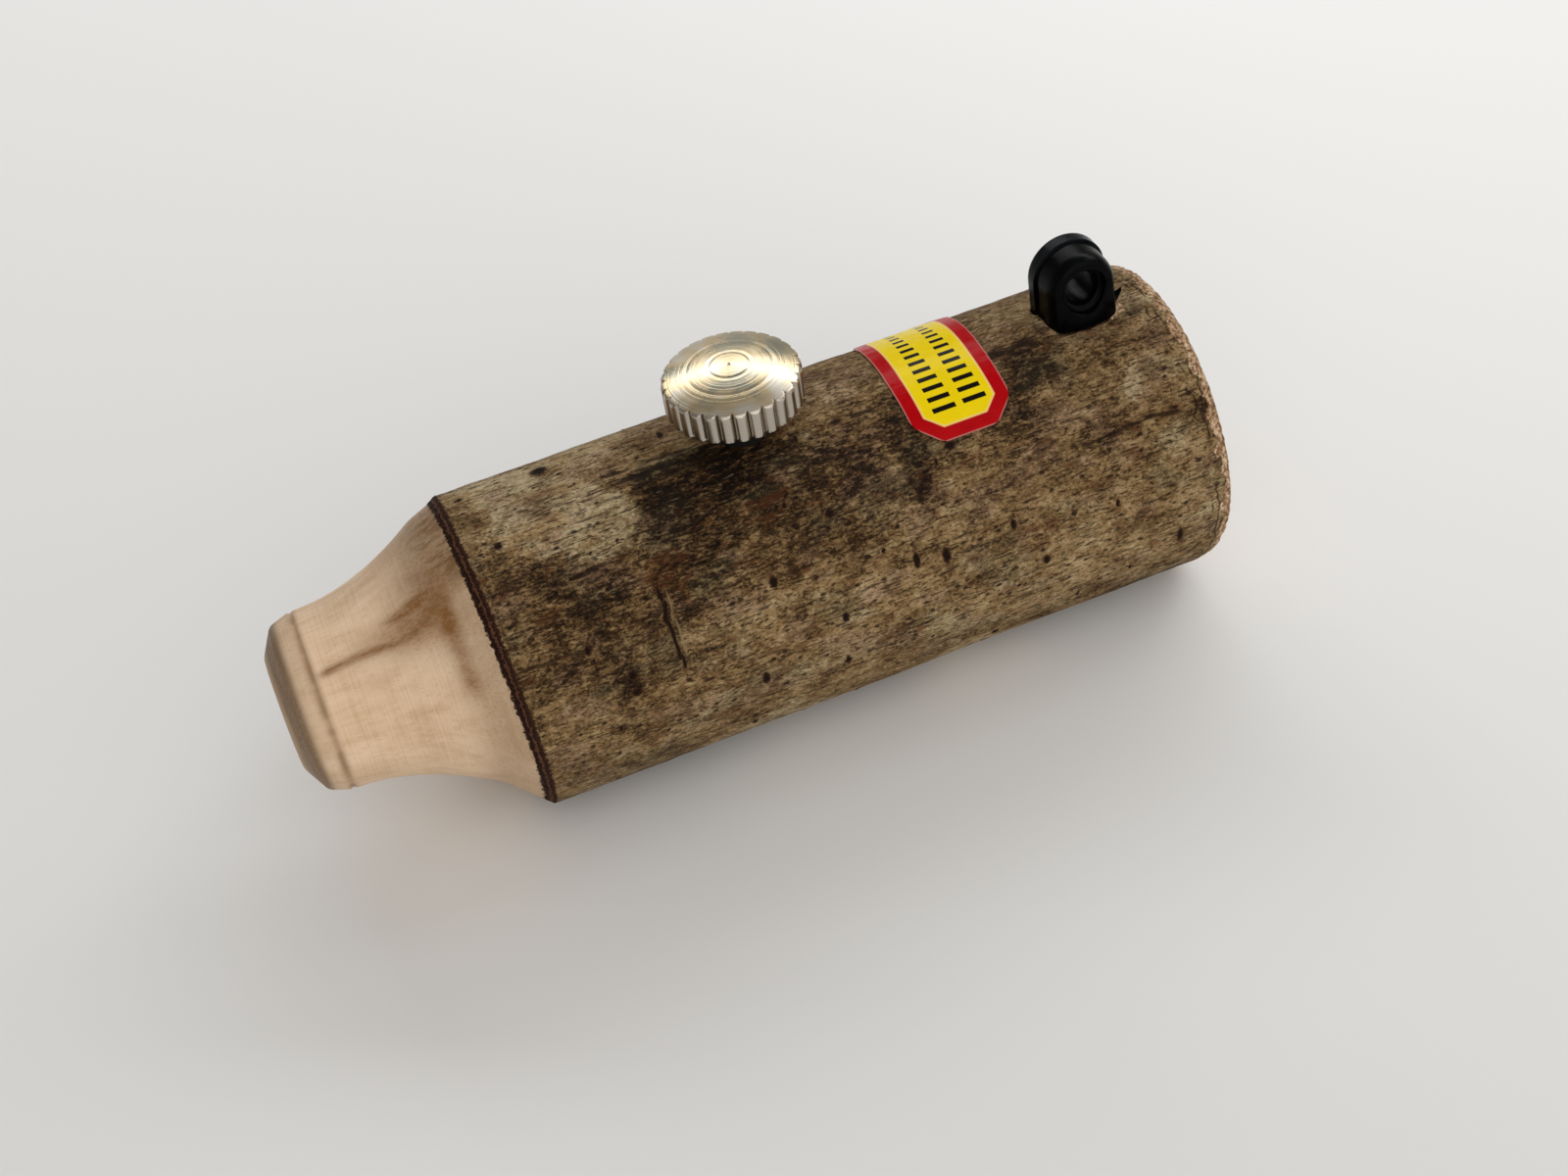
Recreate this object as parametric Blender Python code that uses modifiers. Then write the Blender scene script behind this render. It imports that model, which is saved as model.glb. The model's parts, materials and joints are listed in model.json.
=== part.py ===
"""Roe-deer call: a hazel rod with a turned mouthpiece, a reed inside and a thumb screw that tunes it.

Stations run along the rod from the tip of the mouthpiece. Heights are measured from the rod's axis.
"""
import math

import bmesh
import bpy
from mathutils import Vector

MM = 0.001
CLEARANCE = 0.3 * MM
MERGE_DISTANCE = 0.00001

# Hazel rod with its bark on
LENGTH = 72.7 * MM
ROD_RADIUS = 12.5 * MM
REST_FLAT_WIDTH = 5.0 * MM
REAR_ROUND_LENGTH = 1.8 * MM
REAR_ROUND_DEPTH = 0.7 * MM
CHAMBER_RADIUS = 7.0 * MM
CHAMBER_START = 24.5 * MM
AXIS_HEIGHT = math.sqrt(ROD_RADIUS ** 2 - (REST_FLAT_WIDTH / 2) ** 2)

# Mouthpiece, turned about an axis that lies a little off the rod's own
BARK_START = 16.1 * MM
COVE_END = 15.4 * MM
COVE_EDGE_RADIUS = 11.9 * MM
COVE_START = 2.9 * MM
NECK_RADIUS = 7.05 * MM
COVE_POWER = 1.9
LIP_STATION = 1.2 * MM
LIP_RADIUS = 6.6 * MM
LIP_ROUND = 0.25 * MM
LIP_DROP = 0.375 * MM
TIP_RADIUS = 4.5 * MM
BLOW_RADIUS = 3.2 * MM
BLOW_CHAMFER = 0.4 * MM
ECCENTRICITY = 0.87 * MM
ECCENTRIC_ANGLE = math.radians(50)
ECCENTRIC_FULL = 12.9 * MM
ECCENTRIC_NONE = 16.0 * MM

# Thumb screw and what it turns in
SCREW_STATION = 38.34 * MM
KNOB_BOTTOM = 15.3 * MM
KNOB_RADIUS = 5.1 * MM
KNOB_RIM_HEIGHT = 2.0 * MM
KNOB_BEVEL = 0.35 * MM
KNOB_DOME_INSET = 0.56 * MM
KNOB_HEIGHT = 3.2 * MM
KNOB_SOCKET_DEPTH = 1.6 * MM
FLUTE_COUNT = 28
FLUTE_DEPTH = 0.35 * MM
STEM_RADIUS = 1.5 * MM
STEM_PIN_RADIUS = 0.9 * MM
BUSH_RADIUS = 2.6 * MM
RING_HEIGHT = 2.2 * MM
RING_BOTTOM = 12.1 * MM

# Reed insert; the reed bends about a line across the deck, in front of its clamp
DECK_HEIGHT = -0.5 * MM
BOARD_START = 26.5 * MM
BOARD_RADIUS = 6.2 * MM
BEND_STATION = 44.5 * MM
LAY_ANGLE = math.radians(4.6)
PLUG_START = 50.0 * MM
PLUG_END = 57.5 * MM
PLUG_RADIUS = 6.4 * MM
CHANNEL_START = 29.0 * MM
CHANNEL_WIDTH = 2.4 * MM
CHANNEL_FLOOR = -4.2 * MM
OUTLET_RADIUS = 1.8 * MM
SEAL_STATION = 53.8 * MM
SEAL_WIDTH = 2.0 * MM
SEAL_INNER_RADIUS = 5.7 * MM
REED_TIP = 28.0 * MM
REED_ROOT = 47.5 * MM
REED_WIDTH = 4.4 * MM
REED_TIP_WIDTH = 3.6 * MM
REED_THICKNESS = 0.3 * MM
CLAMP_START = 44.9 * MM
CLAMP_END = 49.5 * MM
CLAMP_WIDTH = 10.0 * MM
CLAMP_THICKNESS = 1.2 * MM
CLAMP_SCREW_SPREAD = 3.5 * MM
CLAMP_SCREW_RADIUS = 0.7 * MM
CLAMP_SCREW_DEPTH = 3.0 * MM
CLAMP_HEAD_RADIUS = 1.25 * MM
CLAMP_HEAD_HEIGHT = 1.0 * MM
PAD_RADIUS = 2.2 * MM
PAD_HEIGHT = 2.6 * MM
PAD_SOCKET_DEPTH = 1.6 * MM

# Lanyard eye, an arch with a rim along its far edge and a stem pushed into the rod
EYE_STATION = 66.1 * MM
EYE_SIDE = 0.4 * MM
EYE_CENTRE = 15.25 * MM
EYE_FOOT = 12.0 * MM
EYE_RADIUS = 2.75 * MM
EYE_THICKNESS = 3.9 * MM
EYE_RIM_RADIUS = 2.95 * MM
EYE_RIM_THICKNESS = 0.8 * MM
EYE_HOLE_RADIUS = 1.35 * MM
EYE_RECESS_RADIUS = 1.75 * MM
EYE_RECESS_DEPTH = 0.5 * MM
EYE_STEM_RADIUS = 1.6 * MM
EYE_STEM_LENGTH = 3.1 * MM
EYE_EDGE_ROUND = 0.125 * MM

# Paper label, a rectangle with cut corners wrapped over the top of the rod
LABEL_STATION = 53.9 * MM
LABEL_WIDTH = 8.0 * MM
LABEL_NEAR_ARC = 7.3 * MM
LABEL_FAR_ARC = 9.6 * MM
LABEL_CORNER_CUT = 1.8 * MM
LABEL_THICKNESS = 0.2 * MM
LABEL_INNER_RADIUS = ROD_RADIUS + 0.25 * MM

# Facets round the turned pieces, and along their profiles
ROD_STEPS = 64
REAR_STEPS = 4
COVE_STEPS = 14
BEND_STEPS = 5
FLUTE_STEPS = 4
DOME_STEPS = 4
SMALL_STEPS = 24
PLUG_STEPS = 40
FRICTION_RING_POINTS = 12
SEAL_RING_POINTS = 8
ARCH_STEPS = 18
LABEL_STEPS = 14
SMOOTH_ANGLE = math.radians(35)
RIM_SMOOTH_ANGLE = math.radians(25)
EDGE_ANGLE = math.radians(50)

REED_BOTTOM = DECK_HEIGHT + CLEARANCE
REED_MIDDLE = REED_BOTTOM + REED_THICKNESS / 2
CLAMP_BOTTOM = REED_BOTTOM + REED_THICKNESS + CLEARANCE
PAD_BOTTOM = REED_BOTTOM + REED_THICKNESS + CLEARANCE
CLAMP_SCREW_STATION = (CLAMP_START + CLAMP_END) / 2


def clear_scene():
    for obj in list(bpy.data.objects):
        bpy.data.objects.remove(obj, do_unlink=True)


def make_collection(name):
    group = bpy.data.collections.new(name)
    bpy.context.scene.collection.children.link(group)
    return group


def make_material(name, colour, roughness, metallic=0.0):
    material = bpy.data.materials.new(name)
    material.use_nodes = True
    shader = material.node_tree.nodes["Principled BSDF"]
    shader.inputs["Base Color"].default_value = (*colour, 1.0)
    shader.inputs["Roughness"].default_value = roughness
    shader.inputs["Metallic"].default_value = metallic
    return material


clear_scene()
PARTS = make_collection("deer_call")
CUTTERS = make_collection("cutters")
TIP = bpy.data.objects.new("rod_tip", None)
TIP.location = (-LENGTH / 2, 0.0, AXIS_HEIGHT)
TIP.empty_display_size = 5 * MM
PARTS.objects.link(TIP)

BARK = make_material("hazel_bark", (0.20, 0.14, 0.075), 0.85)
WOOD = make_material("bare_hazel", (0.66, 0.47, 0.30), 0.6)
NICKEL = make_material("nickel_plate", (0.80, 0.77, 0.70), 0.18, 1.0)
BRASS = make_material("brass", (0.72, 0.52, 0.22), 0.3, 1.0)
BRONZE = make_material("bronze", (0.66, 0.42, 0.20), 0.3, 1.0)
STEEL = make_material("steel", (0.62, 0.62, 0.62), 0.3, 1.0)
RUBBER = make_material("black_rubber", (0.012, 0.012, 0.012), 0.6)
BLACK_PLASTIC = make_material("black_plastic", (0.015, 0.016, 0.018), 0.35)
GREY_PLASTIC = make_material("grey_plastic", (0.35, 0.35, 0.34), 0.5)
PAPER = make_material("label_paper", (0.85, 0.55, 0.03), 0.35)


def place(name, mesh, material, location=(0.0, 0.0, 0.0), rotation=(0.0, 0.0, 0.0), group=PARTS):
    """Link a mesh as an object whose location is counted from the tip, on the rod's axis."""
    obj = bpy.data.objects.new(name, mesh)
    if material:
        mesh.materials.append(material)
    obj.parent = TIP
    obj.location = location
    obj.rotation_euler = rotation
    group.objects.link(obj)
    return obj


def place_cutter(name, mesh, location=(0.0, 0.0, 0.0), rotation=(0.0, 0.0, 0.0)):
    obj = place(name, mesh, None, location, rotation, CUTTERS)
    obj.hide_render = True
    obj.display_type = "WIRE"
    return obj


def combine(obj, other, operation):
    modifier = obj.modifiers.new(f"{operation.lower()}_{other.name}", "BOOLEAN")
    modifier.operation = operation
    modifier.object = other
    modifier.solver = "EXACT"


def cut(obj, cutter):
    combine(obj, cutter, "DIFFERENCE")


def bake(obj):
    """Give an object its evaluated mesh, so that its points can be shaped further."""
    drawn = obj.evaluated_get(bpy.context.evaluated_depsgraph_get())
    mesh = bpy.data.meshes.new_from_object(drawn)
    obj.modifiers.clear()
    obj.data = mesh


ALONG_ROD = (0.0, math.pi / 2, 0.0)
ACROSS_ROD = (math.pi / 2, 0.0, 0.0)


def turned_mesh(name, profile, closed):
    """Profile of (height, radius) pairs, from the top down the outer side."""
    form = bmesh.new()
    points = [form.verts.new((radius, 0.0, height)) for height, radius in profile]
    pairs = list(zip(points, points[1:]))
    if closed:
        pairs.append((points[-1], points[0]))
    for first, second in pairs:
        form.edges.new((first, second))
    mesh = bpy.data.meshes.new(name)
    form.to_mesh(mesh)
    form.free()
    return mesh


def turned(name, profile, steps, material, location, rotation=(0.0, 0.0, 0.0), closed=False):
    """A turned piece: closed profiles make rings and tubes, open ones start and end on the axis."""
    obj = place(name, turned_mesh(name, profile, closed), material, location, rotation)
    screw = obj.modifiers.new("turn", "SCREW")
    screw.axis = "Z"
    screw.steps = steps
    screw.render_steps = steps
    screw.use_merge_vertices = True
    screw.merge_threshold = MERGE_DISTANCE
    return obj


def box_mesh(name, low, high):
    form = bmesh.new()
    bmesh.ops.create_cube(form, size=1.0)
    middle = (Vector(low) + Vector(high)) / 2
    size = Vector(high) - Vector(low)
    bmesh.ops.scale(form, vec=size, verts=form.verts)
    bmesh.ops.translate(form, vec=middle, verts=form.verts)
    mesh = bpy.data.meshes.new(name)
    form.to_mesh(mesh)
    form.free()
    return mesh


def rod_mesh(name, radius, length, steps=SMALL_STEPS):
    """A plain cylinder standing on its origin along local Z."""
    form = bmesh.new()
    bmesh.ops.create_cone(form, cap_ends=True, segments=steps, radius1=radius, radius2=radius, depth=length)
    bmesh.ops.translate(form, vec=(0.0, 0.0, length / 2), verts=form.verts)
    mesh = bpy.data.meshes.new(name)
    form.to_mesh(mesh)
    form.free()
    return mesh


def outline_mesh(name, points, thickness):
    """A flat outline in its XY plane, thickened equally to both sides."""
    curve = bpy.data.curves.new(name, "CURVE")
    curve.dimensions = "2D"
    curve.fill_mode = "BOTH"
    curve.extrude = thickness / 2
    spline = curve.splines.new("POLY")
    spline.points.add(len(points) - 1)
    for point, (x, y) in zip(spline.points, points):
        point.co = (x, y, 0.0, 1.0)
    spline.use_cyclic_u = True
    drawn = bpy.data.objects.new(name, curve)
    CUTTERS.objects.link(drawn)
    mesh = bpy.data.meshes.new_from_object(drawn.evaluated_get(bpy.context.evaluated_depsgraph_get()))
    bpy.data.objects.remove(drawn)
    form = bmesh.new()
    form.from_mesh(mesh)
    bmesh.ops.remove_doubles(form, verts=form.verts, dist=MERGE_DISTANCE)
    bmesh.ops.recalc_face_normals(form, faces=form.faces)
    form.to_mesh(mesh)
    form.free()
    return mesh


def smooth(obj, angle=SMOOTH_ANGLE):
    obj.data.shade_smooth()
    obj.data.set_sharp_from_angle(angle=angle)


def arc(centre_height, centre_radius, height, radius, start, end, count):
    """Points of an elliptic arc in a profile; the angle runs from the profile's outward direction."""
    points = []
    for index in range(count + 1):
        angle = start + (end - start) * index / count
        points.append((centre_height + height * math.sin(angle), centre_radius + radius * math.cos(angle)))
    return points


def ring_section(centre_height, centre_radius, height, radius, count):
    """The closed oval section of a rubber ring, from its top down the outer side."""
    start = math.pi / 2
    end = start - 2 * math.pi * (count - 1) / count
    return arc(centre_height, centre_radius, height, radius, start, end, count - 1)


# Wooden body
def rod_profile():
    rear = arc(LENGTH - REAR_ROUND_LENGTH, ROD_RADIUS - REAR_ROUND_DEPTH,
               REAR_ROUND_LENGTH, REAR_ROUND_DEPTH, math.pi / 2, 0.0, REAR_STEPS)
    cove = []
    for index in range(COVE_STEPS, -1, -1):
        part = index / COVE_STEPS
        radius = NECK_RADIUS + (COVE_EDGE_RADIUS - NECK_RADIUS) * part ** COVE_POWER
        cove.append((COVE_START + (COVE_END - COVE_START) * part, radius))
    lip = [
        (LIP_STATION + LIP_ROUND, LIP_RADIUS),
        (LIP_STATION - LIP_ROUND, LIP_RADIUS - LIP_DROP),
        (0.0, TIP_RADIUS),
    ]
    blow_hole = [(0.0, BLOW_RADIUS + BLOW_CHAMFER), (BLOW_CHAMFER, BLOW_RADIUS)]
    for index in range(BEND_STEPS + 1):
        station = ECCENTRIC_FULL + (ECCENTRIC_NONE - ECCENTRIC_FULL) * index / BEND_STEPS
        blow_hole.append((station, BLOW_RADIUS))
    blow_hole.append((CHAMBER_START, BLOW_RADIUS))
    chamber = [(CHAMBER_START, CHAMBER_RADIUS), (LENGTH, CHAMBER_RADIUS)]
    return rear + [(BARK_START, ROD_RADIUS)] + cove + lip + blow_hole + chamber


def shift_mouthpiece(obj):
    """Carry the mouthpiece off the rod's axis, easing in behind the edge of the bark."""
    off_axis = Vector((0.0, math.cos(ECCENTRIC_ANGLE), math.sin(ECCENTRIC_ANGLE))) * ECCENTRICITY
    local = obj.rotation_euler.to_matrix().transposed() @ off_axis
    for vertex in obj.data.vertices:
        part = (ECCENTRIC_NONE - vertex.co.z) / (ECCENTRIC_NONE - ECCENTRIC_FULL)
        part = min(max(part, 0.0), 1.0)
        vertex.co += local * part * part * (3 - 2 * part)


def bark_faces(obj):
    """Bare wood is the second material: mouthpiece, ends and bores."""
    obj.data.materials.append(WOOD)
    for face in obj.data.polygons:
        radius = math.hypot(face.center.x, face.center.y)
        on_bark = face.center.z > BARK_START and radius > ROD_RADIUS - REAR_ROUND_DEPTH / 2
        face.material_index = 0 if on_bark else 1


def make_wooden_body():
    body = turned("wooden_body", rod_profile(), ROD_STEPS, BARK, (0.0, 0.0, 0.0), ALONG_ROD, closed=True)
    body.data.name = "rod_profile"
    bake(body)
    shift_mouthpiece(body)
    bark_faces(body)
    smooth(body)
    beyond = ROD_RADIUS
    flat = box_mesh("rest_flat_cutter", (0.0, -beyond, -2 * beyond), (2 * LENGTH, beyond, -AXIS_HEIGHT))
    cut(body, place_cutter("rest_flat_cutter", flat))
    bush_hole = rod_mesh("bush_hole_cutter", BUSH_RADIUS + CLEARANCE, 2 * beyond)
    cut(body, place_cutter("bush_hole_cutter", bush_hole, (SCREW_STATION, 0.0, CHAMBER_RADIUS / 2)))
    stem_hole = rod_mesh("eye_stem_cutter", EYE_STEM_RADIUS + CLEARANCE, beyond)
    stem_floor = EYE_FOOT - EYE_STEM_LENGTH - CLEARANCE
    cut(body, place_cutter("eye_stem_cutter", stem_hole, (EYE_STATION, EYE_SIDE, stem_floor)))
    half_width = EYE_RIM_RADIUS + CLEARANCE
    half_depth = EYE_THICKNESS / 2 + CLEARANCE
    seat = box_mesh("eye_seat_cutter", (-half_width, -half_depth, -CLEARANCE),
                    (half_width, half_depth, beyond))
    cut(body, place_cutter("eye_seat_cutter", seat, (EYE_STATION, EYE_SIDE, EYE_FOOT)))


# Thumb screw
def flute_rim(obj):
    """Press straight flutes into the rim: two points on each ridge, two in each groove."""
    pitch = 2 * math.pi / FLUTE_COUNT
    for vertex in obj.data.vertices:
        radius = math.hypot(vertex.co.x, vertex.co.y)
        if radius < KNOB_RADIUS - KNOB_BEVEL / 2:
            continue
        turn = math.atan2(vertex.co.y, vertex.co.x) / pitch % 1.0
        if turn >= 0.5 - 1 / (4 * FLUTE_STEPS) and turn < 1.0 - 1 / (4 * FLUTE_STEPS):
            shrink = (radius - FLUTE_DEPTH) / radius
            vertex.co.x *= shrink
            vertex.co.y *= shrink


def make_screw_knob():
    dome_edge = KNOB_RADIUS - KNOB_DOME_INSET
    dome = arc(KNOB_RIM_HEIGHT + KNOB_BEVEL, 0.0, KNOB_HEIGHT - KNOB_RIM_HEIGHT - KNOB_BEVEL, dome_edge,
               math.pi / 2, 0.0, DOME_STEPS)
    rim = [
        (KNOB_RIM_HEIGHT, KNOB_RADIUS),
        (KNOB_BEVEL / 2, KNOB_RADIUS),
        (0.0, KNOB_RADIUS - KNOB_BEVEL),
    ]
    socket_radius = STEM_RADIUS + CLEARANCE
    socket = [(0.0, socket_radius), (KNOB_SOCKET_DEPTH, socket_radius), (KNOB_SOCKET_DEPTH, 0.0)]
    knob = turned("screw_knob", dome + rim + socket, FLUTE_COUNT * FLUTE_STEPS, NICKEL,
                  (SCREW_STATION, 0.0, KNOB_BOTTOM))
    bake(knob)
    flute_rim(knob)
    smooth(knob, RIM_SMOOTH_ANGLE)


def make_screw_stem():
    top = KNOB_BOTTOM + KNOB_SOCKET_DEPTH - CLEARANCE
    shoulder = PAD_BOTTOM + PAD_HEIGHT + CLEARANCE
    pin_end = PAD_BOTTOM + PAD_HEIGHT - PAD_SOCKET_DEPTH + CLEARANCE
    chamfer = CLEARANCE
    profile = [
        (top, 0.0),
        (top, STEM_RADIUS - chamfer),
        (top - chamfer, STEM_RADIUS),
        (shoulder + chamfer, STEM_RADIUS),
        (shoulder, STEM_RADIUS - chamfer),
        (shoulder, STEM_PIN_RADIUS),
        (pin_end, STEM_PIN_RADIUS),
        (pin_end, 0.0),
    ]
    turned("screw_stem", profile, SMALL_STEPS, NICKEL, (SCREW_STATION, 0.0, 0.0))


def make_threaded_bush():
    bore = STEM_RADIUS + CLEARANCE
    top = RING_BOTTOM - CLEARANCE
    profile = [(top, BUSH_RADIUS), (CHAMBER_RADIUS, BUSH_RADIUS), (CHAMBER_RADIUS, bore), (top, bore)]
    turned("threaded_bush", profile, SMALL_STEPS, BRASS, (SCREW_STATION, 0.0, 0.0), closed=True)


def make_friction_ring():
    inner = STEM_RADIUS + CLEARANCE
    middle = (inner + BUSH_RADIUS) / 2
    half_width = (BUSH_RADIUS - inner) / 2
    half_height = RING_HEIGHT / 2
    profile = ring_section(RING_BOTTOM + half_height, middle, half_height, half_width, FRICTION_RING_POINTS)
    turned("friction_ring", profile, SMALL_STEPS, RUBBER, (SCREW_STATION, 0.0, 0.0), closed=True)


def make_pressure_pad():
    socket_radius = STEM_PIN_RADIUS + CLEARANCE
    floor = PAD_HEIGHT - PAD_SOCKET_DEPTH
    edge = CLEARANCE
    profile = [
        (floor, 0.0),
        (floor, socket_radius),
        (PAD_HEIGHT, socket_radius),
        (PAD_HEIGHT, PAD_RADIUS - edge),
        (PAD_HEIGHT - edge, PAD_RADIUS),
        (edge, PAD_RADIUS),
        (0.0, PAD_RADIUS - edge),
        (0.0, 0.0),
    ]
    turned("pressure_pad", profile, SMALL_STEPS, BRASS, (SCREW_STATION, 0.0, PAD_BOTTOM))


# Reed insert
def make_tone_board():
    groove_half = SEAL_WIDTH / 2 + CLEARANCE
    groove_radius = SEAL_INNER_RADIUS - CLEARANCE
    profile = [
        (PLUG_END, 0.0),
        (PLUG_END, PLUG_RADIUS),
        (SEAL_STATION + groove_half, PLUG_RADIUS),
        (SEAL_STATION + groove_half, groove_radius),
        (SEAL_STATION - groove_half, groove_radius),
        (SEAL_STATION - groove_half, PLUG_RADIUS),
        (PLUG_START, PLUG_RADIUS),
        (PLUG_START, BOARD_RADIUS),
        (BOARD_START, BOARD_RADIUS),
        (BOARD_START, 0.0),
    ]
    board = turned("tone_board", profile, PLUG_STEPS, GREY_PLASTIC, (0.0, 0.0, 0.0), ALONG_ROD)
    beyond = ROD_RADIUS
    lay_drop = math.tan(LAY_ANGLE) * BEND_STATION
    above_deck = [
        (0.0, DECK_HEIGHT - lay_drop),
        (BEND_STATION, DECK_HEIGHT),
        (PLUG_START, DECK_HEIGHT),
        (PLUG_START, beyond),
        (0.0, beyond),
    ]
    deck = outline_mesh("deck_cutter", above_deck, 2 * beyond)
    cut(board, place_cutter("deck_cutter", deck, rotation=ACROSS_ROD))
    half_channel = CHANNEL_WIDTH / 2
    channel = box_mesh("channel_cutter", (CHANNEL_START, -half_channel, CHANNEL_FLOOR),
                       (PLUG_START, half_channel, beyond))
    cut(board, place_cutter("channel_cutter", channel))
    outlet = rod_mesh("outlet_cutter", OUTLET_RADIUS, PLUG_END)
    outlet_height = CHANNEL_FLOOR + OUTLET_RADIUS
    outlet_start = PLUG_START - OUTLET_RADIUS
    cut(board, place_cutter("outlet_cutter", outlet, (outlet_start, 0.0, outlet_height), ALONG_ROD))
    hole_depth = CLAMP_SCREW_DEPTH + CLEARANCE
    for side, label in ((-1, "near"), (1, "far")):
        hole = rod_mesh(f"{label}_board_hole", CLAMP_SCREW_RADIUS + CLEARANCE, beyond)
        seat = (CLAMP_SCREW_STATION, side * CLAMP_SCREW_SPREAD, DECK_HEIGHT - hole_depth)
        cut(board, place_cutter(f"{label}_board_hole", hole, seat))


def make_seal_ring():
    outer = CHAMBER_RADIUS - CLEARANCE
    middle = (outer + SEAL_INNER_RADIUS) / 2
    profile = ring_section(0.0, middle, SEAL_WIDTH / 2, (outer - SEAL_INNER_RADIUS) / 2, SEAL_RING_POINTS)
    turned("seal_ring", profile, PLUG_STEPS, RUBBER, (SEAL_STATION, 0.0, 0.0), ALONG_ROD, closed=True)


def make_reed_tongue():
    """Origin on the line that the reed bends about."""
    half_tip = REED_TIP_WIDTH / 2
    half_root = REED_WIDTH / 2
    tip = REED_TIP - BEND_STATION
    root = REED_ROOT - BEND_STATION
    corner = half_tip / 2
    outline = [
        (tip + corner, -half_tip),
        (root, -half_root),
        (root, half_root),
        (tip + corner, half_tip),
        (tip, half_tip - corner),
        (tip, corner - half_tip),
    ]
    place("reed_tongue", outline_mesh("reed_tongue", outline, REED_THICKNESS), BRONZE,
          (BEND_STATION, 0.0, REED_MIDDLE))


def make_reed_clamp():
    half_length = (CLAMP_END - CLAMP_START) / 2
    half_width = CLAMP_WIDTH / 2
    plate = box_mesh("reed_clamp", (-half_length, -half_width, 0.0),
                     (half_length, half_width, CLAMP_THICKNESS))
    clamp = place("reed_clamp", plate, STEEL, (CLAMP_SCREW_STATION, 0.0, CLAMP_BOTTOM))
    for side, label in ((-1, "near"), (1, "far")):
        hole = rod_mesh(f"{label}_clamp_hole", CLAMP_SCREW_RADIUS + CLEARANCE, 2 * CLAMP_THICKNESS)
        start = CLAMP_BOTTOM - CLAMP_THICKNESS / 2
        where = (CLAMP_SCREW_STATION, side * CLAMP_SCREW_SPREAD, start)
        cut(clamp, place_cutter(f"{label}_clamp_hole", hole, where))


def make_clamp_screw(name, side):
    seat = CLAMP_BOTTOM + CLAMP_THICKNESS + CLEARANCE
    edge = CLAMP_HEAD_HEIGHT / 4
    profile = [
        (seat + CLAMP_HEAD_HEIGHT, 0.0),
        (seat + CLAMP_HEAD_HEIGHT, CLAMP_HEAD_RADIUS - edge),
        (seat + CLAMP_HEAD_HEIGHT - edge, CLAMP_HEAD_RADIUS),
        (seat, CLAMP_HEAD_RADIUS),
        (seat, CLAMP_SCREW_RADIUS),
        (DECK_HEIGHT - CLAMP_SCREW_DEPTH + edge, CLAMP_SCREW_RADIUS),
        (DECK_HEIGHT - CLAMP_SCREW_DEPTH, 0.0),
    ]
    where = (CLAMP_SCREW_STATION, side * CLAMP_SCREW_SPREAD, 0.0)
    screw = turned(name, profile, SMALL_STEPS, STEEL, where)
    half_slot = CLAMP_HEAD_HEIGHT / 6
    slot = box_mesh(f"{name}_slot", (-CLAMP_HEAD_RADIUS * 2, -half_slot, 0.0),
                    (CLAMP_HEAD_RADIUS * 2, half_slot, CLAMP_HEAD_HEIGHT))
    cut(screw, place_cutter(f"{name}_slot", slot, (where[0], where[1], seat + CLAMP_HEAD_HEIGHT / 2)))


# Lanyard eye
def arch_outline(radius):
    """Half-round top on straight sides; the origin is the centre of the round."""
    foot = EYE_FOOT - EYE_CENTRE
    points = [(-radius, foot), (radius, foot)]
    for index in range(ARCH_STEPS + 1):
        angle = math.pi * index / ARCH_STEPS
        points.append((radius * math.cos(angle), radius * math.sin(angle)))
    return points


def make_lanyard_eye():
    centre = (EYE_STATION, EYE_SIDE, EYE_CENTRE)
    arch = outline_mesh("lanyard_eye", arch_outline(EYE_RADIUS), EYE_THICKNESS)
    eye = place("lanyard_eye", arch, BLACK_PLASTIC, centre, ACROSS_ROD)
    far_side = EYE_SIDE + (EYE_THICKNESS - EYE_RIM_THICKNESS) / 2
    rim = outline_mesh("eye_rim", arch_outline(EYE_RIM_RADIUS), EYE_RIM_THICKNESS)
    combine(eye, place_cutter("eye_rim", rim, (EYE_STATION, far_side, EYE_CENTRE), ACROSS_ROD), "UNION")
    stem = rod_mesh("eye_stem", EYE_STEM_RADIUS, EYE_STEM_LENGTH + EYE_RADIUS / 4)
    combine(eye, place_cutter("eye_stem", stem, (EYE_STATION, EYE_SIDE, EYE_FOOT - EYE_STEM_LENGTH)), "UNION")
    hole = rod_mesh("eye_hole", EYE_HOLE_RADIUS, 2 * EYE_THICKNESS)
    cut(eye, place_cutter("eye_hole", hole, (EYE_STATION, EYE_SIDE + EYE_THICKNESS, EYE_CENTRE), ACROSS_ROD))
    recess = rod_mesh("eye_recess", EYE_RECESS_RADIUS, EYE_THICKNESS)
    near_face = EYE_SIDE - EYE_THICKNESS / 2 + EYE_RECESS_DEPTH
    cut(eye, place_cutter("eye_recess", recess, (EYE_STATION, near_face, EYE_CENTRE), ACROSS_ROD))
    rounding = eye.modifiers.new("edges", "BEVEL")
    rounding.width = EYE_EDGE_ROUND
    rounding.segments = 1
    rounding.angle_limit = EDGE_ANGLE


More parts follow.
